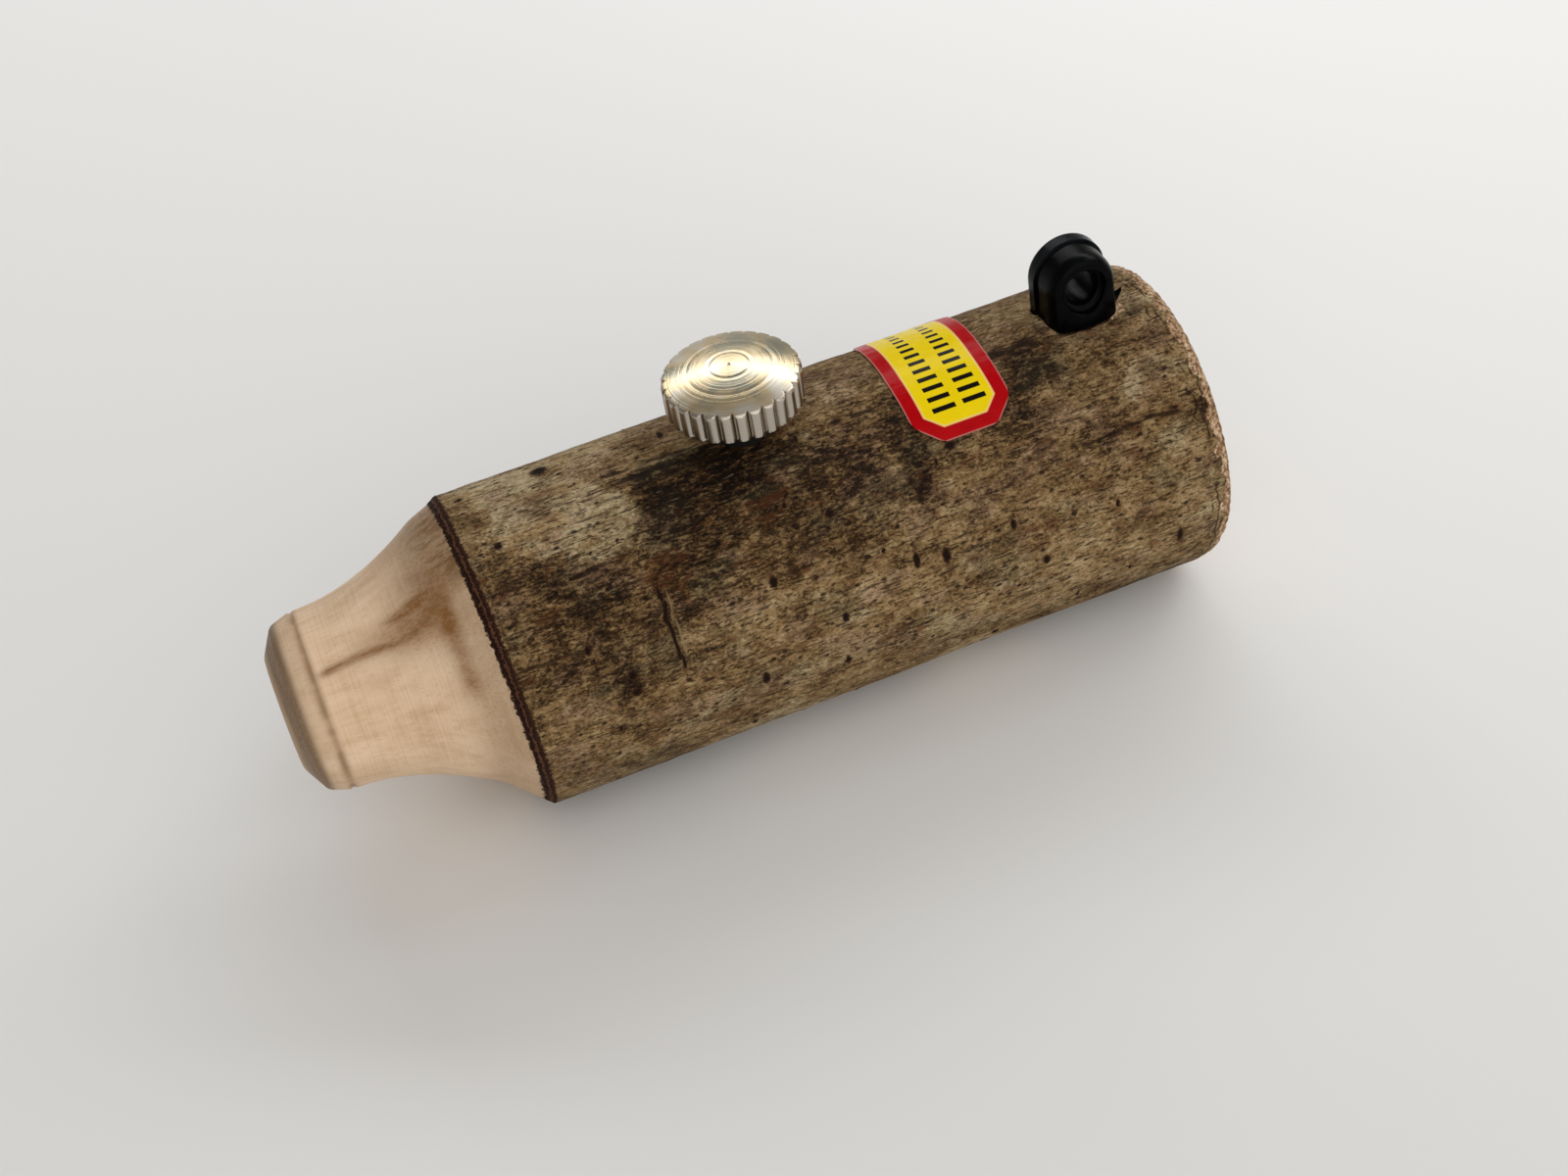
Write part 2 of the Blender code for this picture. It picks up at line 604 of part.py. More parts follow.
# Paper label
def make_label():
    half_width = LABEL_WIDTH / 2
    half_arc = (LABEL_NEAR_ARC + LABEL_FAR_ARC) / 2
    middle_arc = (LABEL_FAR_ARC - LABEL_NEAR_ARC) / 2
    form = bmesh.new()
    bmesh.ops.create_grid(form, x_segments=2, y_segments=LABEL_STEPS, size=1.0)
    bmesh.ops.scale(form, vec=(half_width, half_arc, 1.0), verts=form.verts)
    for side_x in (-1, 1):
        for side_y in (-1, 1):
            on_cut = Vector((side_x * (half_width - LABEL_CORNER_CUT), side_y * half_arc, 0.0))
            outward = Vector((side_x, side_y, 0.0)).normalized()
            every = form.verts[:] + form.edges[:] + form.faces[:]
            bmesh.ops.bisect_plane(form, geom=every, dist=MERGE_DISTANCE, plane_co=on_cut,
                                   plane_no=outward, clear_outer=True)
    for vertex in form.verts:
        angle = (vertex.co.y + middle_arc) / ROD_RADIUS
        vertex.co.y = LABEL_INNER_RADIUS * math.sin(angle)
        vertex.co.z = LABEL_INNER_RADIUS * math.cos(angle)
    mesh = bpy.data.meshes.new("label")
    form.to_mesh(mesh)
    form.free()
    label = place("label", mesh, PAPER, (LABEL_STATION, 0.0, 0.0))
    paper = label.modifiers.new("paper", "SOLIDIFY")
    paper.thickness = LABEL_THICKNESS
    paper.offset = 1.0


make_wooden_body()
make_screw_knob()
make_screw_stem()
make_threaded_bush()
make_friction_ring()
make_pressure_pad()
make_tone_board()
make_seal_ring()
make_reed_tongue()
make_reed_clamp()
make_clamp_screw("clamp_screw_near", -1)
make_clamp_screw("clamp_screw_far", 1)
make_lanyard_eye()
make_label()
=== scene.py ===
"""Looks of a roe-deer call: hazel bark, turned wood, nickel screw, black lanyard eye and paper label.

Stations run along the rod from the tip of the mouthpiece, angles round it from its top towards the
near side, and heights up from its axis. Lengths are in millimetres and angles in degrees, unless a
heading says otherwise.
"""
import json
import random
from math import atan2, copysign, cos, pi, radians, sin, sqrt

import bmesh
import bpy
import numpy as np
from mathutils import Matrix, Vector, noise


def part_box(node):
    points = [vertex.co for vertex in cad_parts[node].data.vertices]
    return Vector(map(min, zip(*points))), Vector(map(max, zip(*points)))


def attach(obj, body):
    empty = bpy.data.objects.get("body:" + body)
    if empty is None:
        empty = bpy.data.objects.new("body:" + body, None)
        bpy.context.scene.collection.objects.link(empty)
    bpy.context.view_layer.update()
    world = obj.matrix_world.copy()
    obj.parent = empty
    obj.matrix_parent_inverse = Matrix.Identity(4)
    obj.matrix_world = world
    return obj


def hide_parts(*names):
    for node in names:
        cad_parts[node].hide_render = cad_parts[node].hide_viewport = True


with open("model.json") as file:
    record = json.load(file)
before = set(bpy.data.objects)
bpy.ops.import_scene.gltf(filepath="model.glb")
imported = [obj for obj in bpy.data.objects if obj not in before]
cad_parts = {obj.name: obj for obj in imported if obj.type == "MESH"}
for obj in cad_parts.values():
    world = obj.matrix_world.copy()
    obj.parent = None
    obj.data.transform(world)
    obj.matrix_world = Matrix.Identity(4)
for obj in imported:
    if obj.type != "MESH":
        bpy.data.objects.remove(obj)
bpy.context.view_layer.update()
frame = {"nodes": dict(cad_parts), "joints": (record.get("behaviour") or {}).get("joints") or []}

MM = 0.001
NODES = frame["nodes"]
JOINTS = {joint["name"]: joint for joint in frame["joints"]}

# Places read from the frame
BODY_LOW, BODY_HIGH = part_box("wooden_body")
TIP_X = BODY_LOW.x
LENGTH = (BODY_HIGH.x - BODY_LOW.x) / MM
ROD_RADIUS = (BODY_HIGH.y - BODY_LOW.y) / 2 / MM
AXIS_Z = BODY_HIGH.z - ROD_RADIUS * MM
SCREW_STATION = (JOINTS["screw_turn"]["pos_m"][0] - TIP_X) / MM


def node_box(node):
    """A node's box, as low and high corners of (station, side, height)."""
    return [((x - TIP_X) / MM, y / MM, (z - AXIS_Z) / MM) for x, y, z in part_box(node)]


# Mouthpiece and bores, as in the solid
BARK_START = 16.1
COVE_END = 15.4
COVE_EDGE_RADIUS = 11.9
COVE_START = 2.9
NECK_RADIUS = 7.05
NECK_STEP = 0.06
COVE_POWER = 1.9
GROOVE_HALF_WIDTH = 0.3
GROOVE_DEPTH = 0.1
LIP_STATION = 1.45
LIP_RADIUS = 6.6
LIP_BEVEL_LENGTH = 0.45
LIP_BEVEL_DEPTH = 0.35
LIP_POWER = 1.6
TIP_RADIUS = 4.5
BLOW_RADIUS = 3.2
BLOW_BEVEL = 0.4
CHAMBER_START = 24.5
CHAMBER_RADIUS = 7.0
REAR_ROUND_LENGTH = 1.8
REAR_ROUND_DEPTH = 0.7
ECCENTRICITY = 0.87
ECCENTRIC_ANGLE = radians(50)
ECCENTRIC_FULL = 12.9
ECCENTRIC_NONE = 16.0

# Fineness of the meshes, and a radius that welds to one point
ROD_STEPS = 320
BARK_ROWS = 228
CUTTER_STEPS = 64
ON_AXIS = 1e-4

# Zones of the rod's rows, and the radius below which there is no bark
BARK, WOOD, EDGE, END = range(4)
UNDER_BARK = 11.4

# Marks on the bark: station, angle, length along the rod, width round it
LENTICELS = [
    (46.7, 68, 0.45, 1.15), (49.0, 70, 0.55, 1.1), (40.5, 79, 0.4, 0.8), (44.5, 61, 0.3, 0.35),
    (36.0, 58, 0.5, 0.8), (54.6, 68, 0.35, 0.8), (56.7, 86, 0.5, 0.7), (33.7, 92, 0.5, 1.0),
    (40.2, 98, 0.35, 0.9), (68.0, 98, 0.4, 1.3), (23.5, -18, 1.1, 1.1), (17.2, -17, 0.5, 0.5),
    (41.6, 43, 0.7, 0.5), (18.4, 14, 0.5, 0.5), (24.2, 71.5, 0.6, 0.7), (24.15, 78, 0.65, 0.6),
    (21.7, 58, 0.35, 0.7), (51.9, 35, 0.8, 0.5), (32.8, -12, 0.35, 1.1), (63.0, 74, 0.3, 0.5),
]
PATCHES = {
    "pale": [
        (20.5, 6, 3.0, 3.0), (24.5, 8, 3.0, 3.4), (26.0, 20, 2.2, 2.4), (67.5, 37, 1.0, 1.5),
        # The two pale patches at -26 and -27 degrees are painted sheen on the top far edge
        (19.0, -26, 3.5, 3.0), (27.5, -27, 4.0, 3.0),
    ],
    "dark": [
        # Stains; those at stations 30 to 36.5 and 5 to 15 degrees, in front of the knob, are also painted
        # shade of its shadow
        (36.5, 14, 5.0, 2.4), (34.0, 9, 2.2, 1.4), (30.5, 15, 2.4, 2.2), (33.0, 28, 5.0, 3.4),
        (43.5, 28, 6.0, 4.6), (22.0, 42, 6.0, 4.0), (31.0, 50, 3.0, 2.4), (30.0, 6, 2.6, 0.9),
        (36.0, 5, 3.0, 1.2), (48.9, 38, 0.9, 5.0), (60.5, 16, 2.5, 2.0), (24.0, 74, 1.6, 1.6),
        (57.5, 34, 2.0, 3.0),
    ],
    "tan": [
        (60.5, 74, 5.5, 4.0), (44.0, 74, 5.0, 2.6), (52.0, 102, 16.0, 4.0), (62.0, -8, 5.0, 3.0),
        # The tan patch at station 20 and -22 degrees is painted sheen on the top far edge
        (47.5, -6, 3.5, 3.0), (20.0, -22, 6.0, 4.0), (31.0, -3.5, 6.0, 1.3),
    ],
    "rust": [
        (56.0, 73, 1.8, 0.8), (24.1, -3, 0.9, 0.9), (35.8, 57, 0.9, 0.5), (52.5, 88, 0.8, 0.6),
        (29.5, 44, 1.6, 1.4), (37.5, 33, 1.6, 1.2), (65.5, 62, 1.2, 1.4),
    ],
    "dim": [
        (53.0, 18, 6.0, 3.5), (62.0, 32, 9.0, 6.0), (67.0, 12, 4.0, 4.0), (23.0, 62, 6.0, 4.5),
        (40.5, 36, 6.0, 4.0),
    ],
}

# Seeds of the patches on the back, and the most that patches add up to
BACK_SEEDS = {"pale": 3, "dark": 4, "tan": 5, "rust": 6, "dim": 8}
PATCH_LIMIT = 1.7

# Soft edges of the stretch round the rod that has no dark patches, which are stain and, by the knob,
# painted shade
DARK_PATCH_FADE = (-70, -40)
DARK_PATCH_EDGE = (4, 1)

# A cut across the grain: its place, its ends and how it wanders
SCAR_STATION = 28.0
SCAR_ANGLES = (43, 80)
SCAR_SWAY = 0.35
SCAR_WOBBLE = 0.28

# Lines along the grain: first and last station, angle, width
GRAIN_LINES = [
    (25.0, 36.0, 1.0, 0.5), (26.0, 36.0, 5.5, 0.5), (21.0, 26.5, 34.0, 0.45), (27.5, 34.0, 72.5, 0.35),
    (60.0, 71.0, 50.0, 0.36), (54.0, 63.5, 7.0, 0.6), (58.0, 66.5, 10.0, 0.5), (28.0, 36.0, 9.0, 0.4),
    (43.0, 50.0, 12.5, 0.4),
]

# Cracks beside the rear edge: distance from it, breaks round the rod
REAR_CRACKS = [(0.95, 0.35), (1.35, 0.45), (1.9, 0.55)]

# Thumb screw, with its turned rings as radius, depth and width
KNOB_RADIUS = 5.2
KNOB_HEIGHT = 3.2
KNOB_RIM = 2.3
FACE_RADIUS = 5.0
KNOB_RINGS = [(1.55, 0.035, 0.09), (3.2, 0.02, 0.12), (0.0, 0.06, 0.1)]
SOCKET_HEIGHT = 1.5
SOCKET_GAP = 0.3
FLUTES = 28
FLUTE_DEPTH = 0.42
FLUTE_POWER = 3.0
FLUTE_STEPS = 16
# Depths into the flutes over which dirt and painted shade darken their bottoms
GRIME_AND_SHADE_DEPTHS = (0.3, 0.5)
STEM_RADIUS = 1.5
STEM_STEPS = 40
THREAD_PITCH = 0.5
THREAD_DEPTH = 0.26
THREAD_ROWS = 8
PIN_LENGTH = 1.6
PIN_RADIUS = 0.9

# Rubber ring, with a mould line outside
RING_RADIUS = 2.1
RING_GAP = 0.12
RING_STEPS = 40
RING_ROUNDNESS = 0.55
RING_FLASH = 0.04

# Lanyard eye, at the place of its node
(EYE_START, EYE_NEAR, EYE_BOTTOM), (EYE_END, EYE_FAR, EYE_TOP) = node_box("lanyard_eye")
EYE_STATION = (EYE_START + EYE_END) / 2
EYE_SIDE = (EYE_NEAR + EYE_FAR) / 2
EYE_RADIUS = 2.75
EYE_RIM_RADIUS = 2.98
EYE_CENTRE = EYE_TOP - EYE_RIM_RADIUS
EYE_RIM_THICKNESS = 1.3
EYE_STEP_ROUND = 0.06
EYE_HOLE_RADIUS = 1.35
EYE_RECESS_RADIUS = 1.75
EYE_RECESS_DEPTH = 0.5
EYE_RECESS_ROUND = 0.08
EYE_STEM_RADIUS = 1.6
EYE_NEAR_ROUND = 0.5
EYE_NEAR_DEPTH = 1.1
EYE_FAR_ROUND = 0.45
EYE_FOOT = 12.0
EYE_SWELL = 0.8
SEAT_GAP = 0.05
SEAT_HEIGHT = 3
BORE_GAP = 0.06

# Torn spike of flash beside the eye
BURR_RADIUS = 0.46
BURR_LENGTH = 1.0
BURR_RISE = 0.8
BURR_DEPTH = 1.0
BURR_HEIGHT = 0.9
BURR_STEPS = 10

# Label
LABEL_THICKNESS = 0.1
LABEL_LIFT = 0.12
LABEL_LEAST_LIFT = 0.05
LABEL_NEAR_ARC = 7.3
LABEL_FAR_ARC = 9.6
LABEL_CORNER_CUT = 1.8
LABEL_BORDER = 1.15
LABEL_ROUND_LENGTH = 0.4
LABEL_ROUND_WIDTH = 0.36
LABEL_CORNER_WEAR = 0.16
LABEL_CORNER_REACH = 0.35
LABEL_SKEW = 0.04
LABEL_ROWS = (-1.1, 1.35)
BARS_START = -6.6
BARS_END = 6.4
BAR_PITCH = 1.0
BAR_SHORTEST = 0.6
BAR_GROWTH = 0.105

# Camera, fitted to the photograph
CAMERA_PLACE = Vector((-29.553, -123.482, 125.751)) * MM
CAMERA_AZIMUTH = radians(-14.83)
CAMERA_ELEVATION = radians(42.71)
CAMERA_ROLL = radians(-10.01)
CAMERA_LENS = 50.265

# Floor, in metres: half width, the stretch where it gets paler to the right as painted light, both colours
FLOOR_HALF = 2.0
FLOOR_STRETCH = (-0.02, 0.1)
FLOOR_LEFT = (0.795, 0.795, 0.79)
FLOOR_RIGHT = (0.86, 0.86, 0.855)

# Light of the room
ROOM_LIGHT = 0.24

# Light in front: direction, cosines where it starts and is full, strength
FRONT_LIGHT = ((0.1, -0.83, 0.55), 0.45, 0.95, 1.15)

# Light along the horizon: strength, sines of the heights where it fades and is gone
HORIZON_LIGHT = (0.34, 0.06, 0.36)

# Lamps, in metres and watts: direction from the call, distance, size, power, colour
LAMP_TARGET = Vector((0.0, 0.0, 0.01))
LAMPS = {
    "window": ((0.52, 0.88, 0.93), 0.42, (0.62, 0.10), 0.88, (0.97, 0.985, 1.0)),
    "right_card": ((0.75, 0.05, 0.66), 0.45, (0.12, 0.24), 0.19, (1.0, 1.0, 1.0)),
}


def smoothstep(value, low, high):
    part = np.clip((value - low) / (high - low), 0.0, 1.0)
    return part * part * (3 - 2 * part)


def window(value, start, end, fade):
    """1 between start and end, fading to 0 over a margin inside both."""
    return smoothstep(value, start, start + fade) * smoothstep(value, end, end - fade)


def bell(value, middle, width):
    """1 at the middle, fading out past a width on both sides."""
    return np.exp(-((value - middle) / width) ** 2)


def field(points, along, across, seed):
    """Smooth noise at points, scaled along the rod and across it."""
    scaled = points * np.array((along, across, across)) + seed
    return np.array([noise.noise(point) for point in scaled.tolist()])


# Meshes
def grid_mesh(name, points, ring_rows=False, ring_columns=False):
    """A mesh from rows of points, closed where they are rings."""
    rows, columns = points.shape[:2]
    index = np.arange(rows * columns).reshape(rows, columns)
    if ring_rows:
        index = np.vstack([index, index[:1]])
    if ring_columns:
        index = np.hstack([index, index[:, :1]])
    corners = np.stack([index[:-1, :-1], index[:-1, 1:], index[1:, 1:], index[1:, :-1]], -1)
    mesh = bpy.data.meshes.new(name)
    mesh.from_pydata((points.reshape(-1, 3) * MM).tolist(), [], corners.reshape(-1, 4).tolist())
    return mesh


def weld(mesh):
    """Merge points that lie together and turn every face outwards."""
    form = bmesh.new()
    form.from_mesh(mesh)
    bmesh.ops.remove_doubles(form, verts=form.verts, dist=1e-7)
    bmesh.ops.recalc_face_normals(form, faces=form.faces)
    form.to_mesh(mesh)
    form.free()


def add_object(name, mesh, *materials):
    obj = bpy.data.objects.new(name, mesh)
    for material in materials:
        mesh.materials.append(material)
    bpy.context.scene.collection.objects.link(obj)
    return obj


def to_world(points):
    """Points of (station, side, height) in the frame's axes, in millimetres."""
    return points + np.array((TIP_X / MM, 0.0, AXIS_Z / MM))


def add_form(name, points, *materials, ring_rows=False):
    """A closed object from rings of (station, side, height) points."""
    mesh = grid_mesh(name, to_world(np.array(points)), ring_rows, ring_columns=True)
    weld(mesh)
    return add_object(name, mesh, *materials)


def smooth(obj, degrees):
    obj.data.shade_smooth()
    obj.data.set_sharp_from_angle(angle=radians(degrees))


def apply_modifiers(obj):
    drawn = obj.evaluated_get(bpy.context.evaluated_depsgraph_get())
    mesh = bpy.data.meshes.new_from_object(drawn)
    obj.modifiers.clear()
    obj.data = mesh


def boolean(obj, others, operation):
    for other in others:
        modifier = obj.modifiers.new(other.name, "BOOLEAN")
        modifier.operation = operation
        modifier.object = other
        modifier.solver = "MANIFOLD"
    apply_modifiers(obj)
    for other in others:
        bpy.data.objects.remove(other)


def set_attribute(mesh, name, values):
    layer = mesh.attributes.new(name, "FLOAT", "POINT")
    layer.data.foreach_set("value", np.asarray(values, np.float32))


def mesh_points(mesh):
    """The mesh's points as (station, side, height)."""
    points = np.zeros(len(mesh.vertices) * 3)
    mesh.vertices.foreach_get("co", points)
    return points.reshape(-1, 3) / MM - to_world(np.zeros(3))


def circle(steps):
    return np.arange(steps) * 2 * pi / steps


def turned_points(heights, radii, angles, station, side=0.0):
    """Points round a vertical axis, in a row for each height."""
    heights, radii, angles = np.broadcast_arrays(heights, radii, angles)
    return np.stack([station + radii * np.cos(angles), side + radii * np.sin(angles), heights], -1)


def turned_profile(profile, steps, station, side=0.0):
    """Rings round a vertical axis, from (height, radius) pairs."""
    heights, radii = np.array(profile).T[:, :, None]
    return turned_points(heights, radii, circle(steps), station, side)


def round_cutter(name, station, side, profile):
    """A turned solid from (height, radius) pairs, closed on its own axis."""
    closed = [(profile[0][0], ON_AXIS), *profile, (profile[-1][0], ON_AXIS)]
    return add_form(name, turned_profile(closed, CUTTER_STEPS, station, side))


# Materials
def feed(socket, value):
    """Link an output to a socket, or set the socket's own number or colour."""
    if isinstance(value, Value):
        socket.id_data.links.new(value.socket, socket)
    elif socket.type == "RGBA":
        socket.default_value = (*value, 1.0)
    else:
        socket.default_value = value


def new_node(tree, kind, *values, **settings):
    """A node with settings, and values for its first inputs."""
    node = tree.nodes.new(kind)
    for name, setting in settings.items():
        setattr(node, name, setting)
    for socket, value in zip(node.inputs, values):
        feed(socket, value)
    return node


class Value:
    """A node's output. Arithmetic and methods add further nodes to its tree."""

    def __init__(self, socket):
        self.socket = socket

    def then(self, kind, *values, output=0, **settings):
        """One output of a node that takes this value first."""
        return Value(new_node(self.socket.id_data, kind, self, *values, **settings).outputs[output])

    def math(self, operation, *values):
        return self.then("ShaderNodeMath", *values, operation=operation)

    def __add__(self, other):
        return self.math("ADD", other)

    def __sub__(self, other):
        return self.math("SUBTRACT", other)

    def __mul__(self, other):
        return self.math("MULTIPLY", other)

    def __abs__(self):
        return self.math("ABSOLUTE")

    def swing(self, amount):
        """The value taken from its middle and multiplied."""
        return self.math("MULTIPLY_ADD", amount, -amount / 2)

    def step(self, low, high, start=0.0, end=1.0):
        """A soft step from start to end as the value goes from low to high."""
        return self.then("ShaderNodeMapRange", low, high, start, end, interpolation_type="SMOOTHSTEP")

    def ramp(self, *stops):
        """A colour that follows stops of place and colour."""
        ramped = self.then("ShaderNodeValToRGB")
        elements = ramped.socket.node.color_ramp.elements
        while len(elements) < len(stops):
            elements.new(1.0)
        for element, (place, colour) in zip(elements, stops):
            element.position = place
            element.color = (*colour, 1.0)
        return ramped

    def mix(self, first, second):
        """A colour from the first to the second as the value goes from 0 to 1."""
        mixed = self.then("ShaderNodeMix", output=2, data_type="RGBA")
        feed(mixed.socket.node.inputs[6], first)
        feed(mixed.socket.node.inputs[7], second)
        return mixed


class Finish:
    """A material with one surface shader, and the textures that feed it."""

    def __init__(self, name, roughness=0.5, metallic=0.0, specular=0.5):
        self.material = bpy.data.materials.new(name)
        self.material.use_nodes = True
        self.tree = self.material.node_tree
        self.place = Value(new_node(self.tree, "ShaderNodeTexCoord").outputs["Object"])
        self.set("Roughness", roughness)
        self.set("Metallic", metallic)
        self.set("Specular IOR Level", specular)

    def set(self, name, value):
        feed(self.tree.nodes["Principled BSDF"].inputs[name], value)

    def bump(self, height, depth, strength=1.0):
        """Relief of a given depth in millimetres."""
        node = new_node(self.tree, "ShaderNodeBump")
        for name, value in (("Strength", strength), ("Distance", depth * MM), ("Height", height)):
            feed(node.inputs[name], value)
        self.set("Normal", Value(node.outputs[0]))

    def mark(self, name):
        """An attribute of the mesh's points."""
        return Value(new_node(self.tree, "ShaderNodeAttribute", attribute_name=name).outputs["Fac"])

    def texture(self, kind, along, across, **inputs):
        """A texture in millimetres, scaled along the rod and across it."""
        scale = (along / MM, across / MM, across / MM)
        place = self.place.then("ShaderNodeVectorMath", scale, operation="MULTIPLY")
        node = new_node(self.tree, kind)
        for name, value in {"Vector": place, "Scale": 1.0, **inputs}.items():
            feed(node.inputs[name], value)
        return node.outputs

    def noise(self, along, across, detail=3.0, roughness=0.55, distortion=0.0):
        return Value(self.texture("ShaderNodeTexNoise", along, across, Detail=detail, Roughness=roughness,
                                  Distortion=distortion)[0])

    def specks(self, along, across):
        """Round specks at some of the points scattered over the surface."""
        cells = self.texture("ShaderNodeTexVoronoi", along, across)
        return Value(cells["Distance"]).step(0.28, 0.12) * Value(cells["Color"]).step(0.53, 0.63)


def cover(colour, *coats):
    """A colour under coats, each as the part that it covers and its own colour."""
    for part, coat in coats:
        colour = part.mix(colour, coat)
    return colour


def bark_tones(bark, grain, flake, streak):
    """Colour of the bark without its marks."""
    mottle = bark.noise(0.42, 0.55, 3.0, 0.6)
    patch = bark.noise(0.16, 0.24, 2.0)
    # Pale patches: lighter bark, and on the top far edge painted sheen
    pale = (bark.mark("pale") + mottle.swing(0.9) + grain.swing(0.5)).step(0.25, 0.7)
    # Dark patches: stain, and painted shade in front of the knob
    stain_and_shade = bark.mark("dark") * streak.step(0.3, 0.7, 1.3, 0.7)
    tone = grain.swing(1.2) + 0.523 + flake.swing(0.17) + streak.swing(0.5) + mottle.swing(0.7)
    tone = tone + patch.swing(0.6) + pale * 0.2 - stain_and_shade * 0.295
    tone = tone + bark.mark("tan") * 0.1 - bark.mark("dim") * 0.08
    brown = tone.ramp(
        (0.0, (0.007, 0.0028, 0.0011)), (0.25, (0.062, 0.032, 0.0115)), (0.5, (0.215, 0.130, 0.055)),
        (0.75, (0.37, 0.253, 0.124)), (1.0, (0.52, 0.395, 0.228)))
    mossy = tone.ramp((0.1, (0.033, 0.026, 0.013)), (0.5, (0.225, 0.175, 0.092)), (0.9, (0.58, 0.50, 0.32)))
    mauve = tone.ramp((0.1, (0.025, 0.012, 0.007)), (0.5, (0.19, 0.112, 0.068)), (0.9, (0.46, 0.33, 0.22)))
    rust = bark.noise(0.55, 1.0, 2.0) + bark.mark("rust") * 0.22 + grain.swing(0.2)
    return cover(
        brown,
        ((bark.noise(0.2, 0.31) + pale * 0.16).step(0.5, 0.66, 0.0, 0.5), mossy),
        (bark.noise(0.26, 0.35, 2.0).step(0.52, 0.64, 0.0, 0.45), mauve),
        (rust.step(0.58, 0.72, 0.0, 0.48), (0.11, 0.037, 0.011)),
    )


def bark_marks(bark, colour, grain):
    """The bark's colour with its lenticels, cracks, scar and frayed edges."""
    spot = bark.mark("spot") + grain.swing(1.1)
    crack = bark.mark("crack") * bark.noise(0.55, 0.9, 2.0).step(0.4, 0.58, 0.72, 1.05) + grain.swing(1.2)
    from_rear = bark.mark("from_rear") + bark.noise(0.5, 0.6, 2.0).swing(1.3) + grain.swing(0.5)
    rear_cracks = []
    for gap, breaks in REAR_CRACKS:
        line = abs(from_rear - gap).step(0.13, 0.03, 0.0, 0.85)
        rear_cracks.append((line * bark.noise(0.2, breaks, 2.0).step(0.46, 0.54), (0.02, 0.008, 0.004)))
    scar = bark.mark("scar") + grain.swing(0.8)
    worn = bark.noise(3.0, 3.0, 4.0, 0.75).ramp(
        (0.34, (0.06, 0.022, 0.009)), (0.48, (0.34, 0.19, 0.095)), (0.62, (0.78, 0.60, 0.41)))
    return cover(
        colour,
        (spot.step(0.28, 0.45, 0.0, 0.85), (0.05, 0.018, 0.008)),
        (spot.step(0.42, 0.65), (0.012, 0.005, 0.0025)),
        (crack.step(0.62, 0.9, 0.0, 0.85), (0.014, 0.006, 0.003)),
        *rear_cracks,
        (scar.step(0.3, 0.7), (0.016, 0.007, 0.003)),
        (scar.step(-0.4, -0.9, 0.0, 0.6), (0.34, 0.23, 0.12)),
        ((bark.mark("fray") + grain.swing(1.2)).step(0.35, 0.6), worn),
    )


def bark_layer(bark):
    """Colour, roughness and height of the bark."""
    grain = bark.noise(3.6, 4.8, 4.0, 0.72)
    flake = bark.noise(0.95, 1.35, 4.0, 0.7, 0.3).step(0.46, 0.58)
    streak = bark.noise(1.0, 2.9, 3.0, 0.65, 0.4)
    split = bark.noise(0.42, 4.6, 2.0, 0.5).step(0.62, 0.68)
    dash = bark.noise(1.2, 5.6, 2.0, 0.5).step(0.58, 0.64).math("MAXIMUM", split)
    speck = bark.specks(0.9, 1.3).math("MAXIMUM", bark.specks(2.0, 3.2))
    colour = cover(
        bark_tones(bark, grain, flake, streak),
        (bark.noise(1.0, 4.4, 2.0, 0.5, 0.3).step(0.36, 0.3, 0.0, 0.3), (0.40, 0.30, 0.165)),
        (dash * 0.75, (0.022, 0.010, 0.004)),
        (speck * 0.85, (0.014, 0.006, 0.003)),
    )
    height = streak + grain * 1.6 + flake * 0.3 - dash * 0.4 - speck * 0.3
    return bark_marks(bark, colour, grain), grain.step(0.3, 0.7, 0.92, 0.72), height


def wood_layer(wood):
    """Colour, roughness and height of the turned wood."""
    grain = wood.noise(0.06, 1.7, 4.0, 0.6)
    pores = wood.noise(0.6, 6.0, 2.0)
    lathe = wood.noise(5.0, 0.10, 3.0, 0.75)
    cloud = wood.noise(0.12, 0.4, 2.0, 0.5, 0.4)
    strands = grain * 0.6 + pores * 0.4
    # Dark end-grain colour that the tip takes on, as painted shade
    ends = cover(
        pores.ramp((0.35, (0.16, 0.099, 0.056)), (0.65, (0.235, 0.154, 0.092))),
        (wood.mark("rings").step(0.0, 0.9, 0.0, 0.35), (0.12, 0.07, 0.035)),
    )
    colour = cover(
        (grain.swing(0.5) + 0.5 + cloud.swing(0.8) + lathe.swing(0.5)).ramp(
            (0.2, (0.54, 0.365, 0.22)), (0.5, (0.715, 0.52, 0.35)), (0.8, (0.80, 0.615, 0.44))),
        (pores.step(0.56, 0.75, 0.0, 0.35), (0.42, 0.26, 0.14)),
        (wood.mark("stain") * strands.step(0.36, 0.62, 0.7, 1.0), (0.175, 0.093, 0.034)),
        (wood.mark("streak") * strands.step(0.36, 0.6, 0.7, 1.0), (0.225, 0.102, 0.032)),
        # Painted shade: a brown band along the groove behind the lip, where shade falls in it
        (wood.mark("groove") * cloud.step(0.35, 0.6, 0.45, 0.85), (0.26, 0.155, 0.08)),
        # Painted shade: the lip and the chamfer are darkened as if in shadow
        (wood.mark("tip") * 0.92, ends),
    )
    return colour, lathe.step(0.35, 0.65, 0.38, 0.62), lathe + grain * 0.4 + pores * 0.25


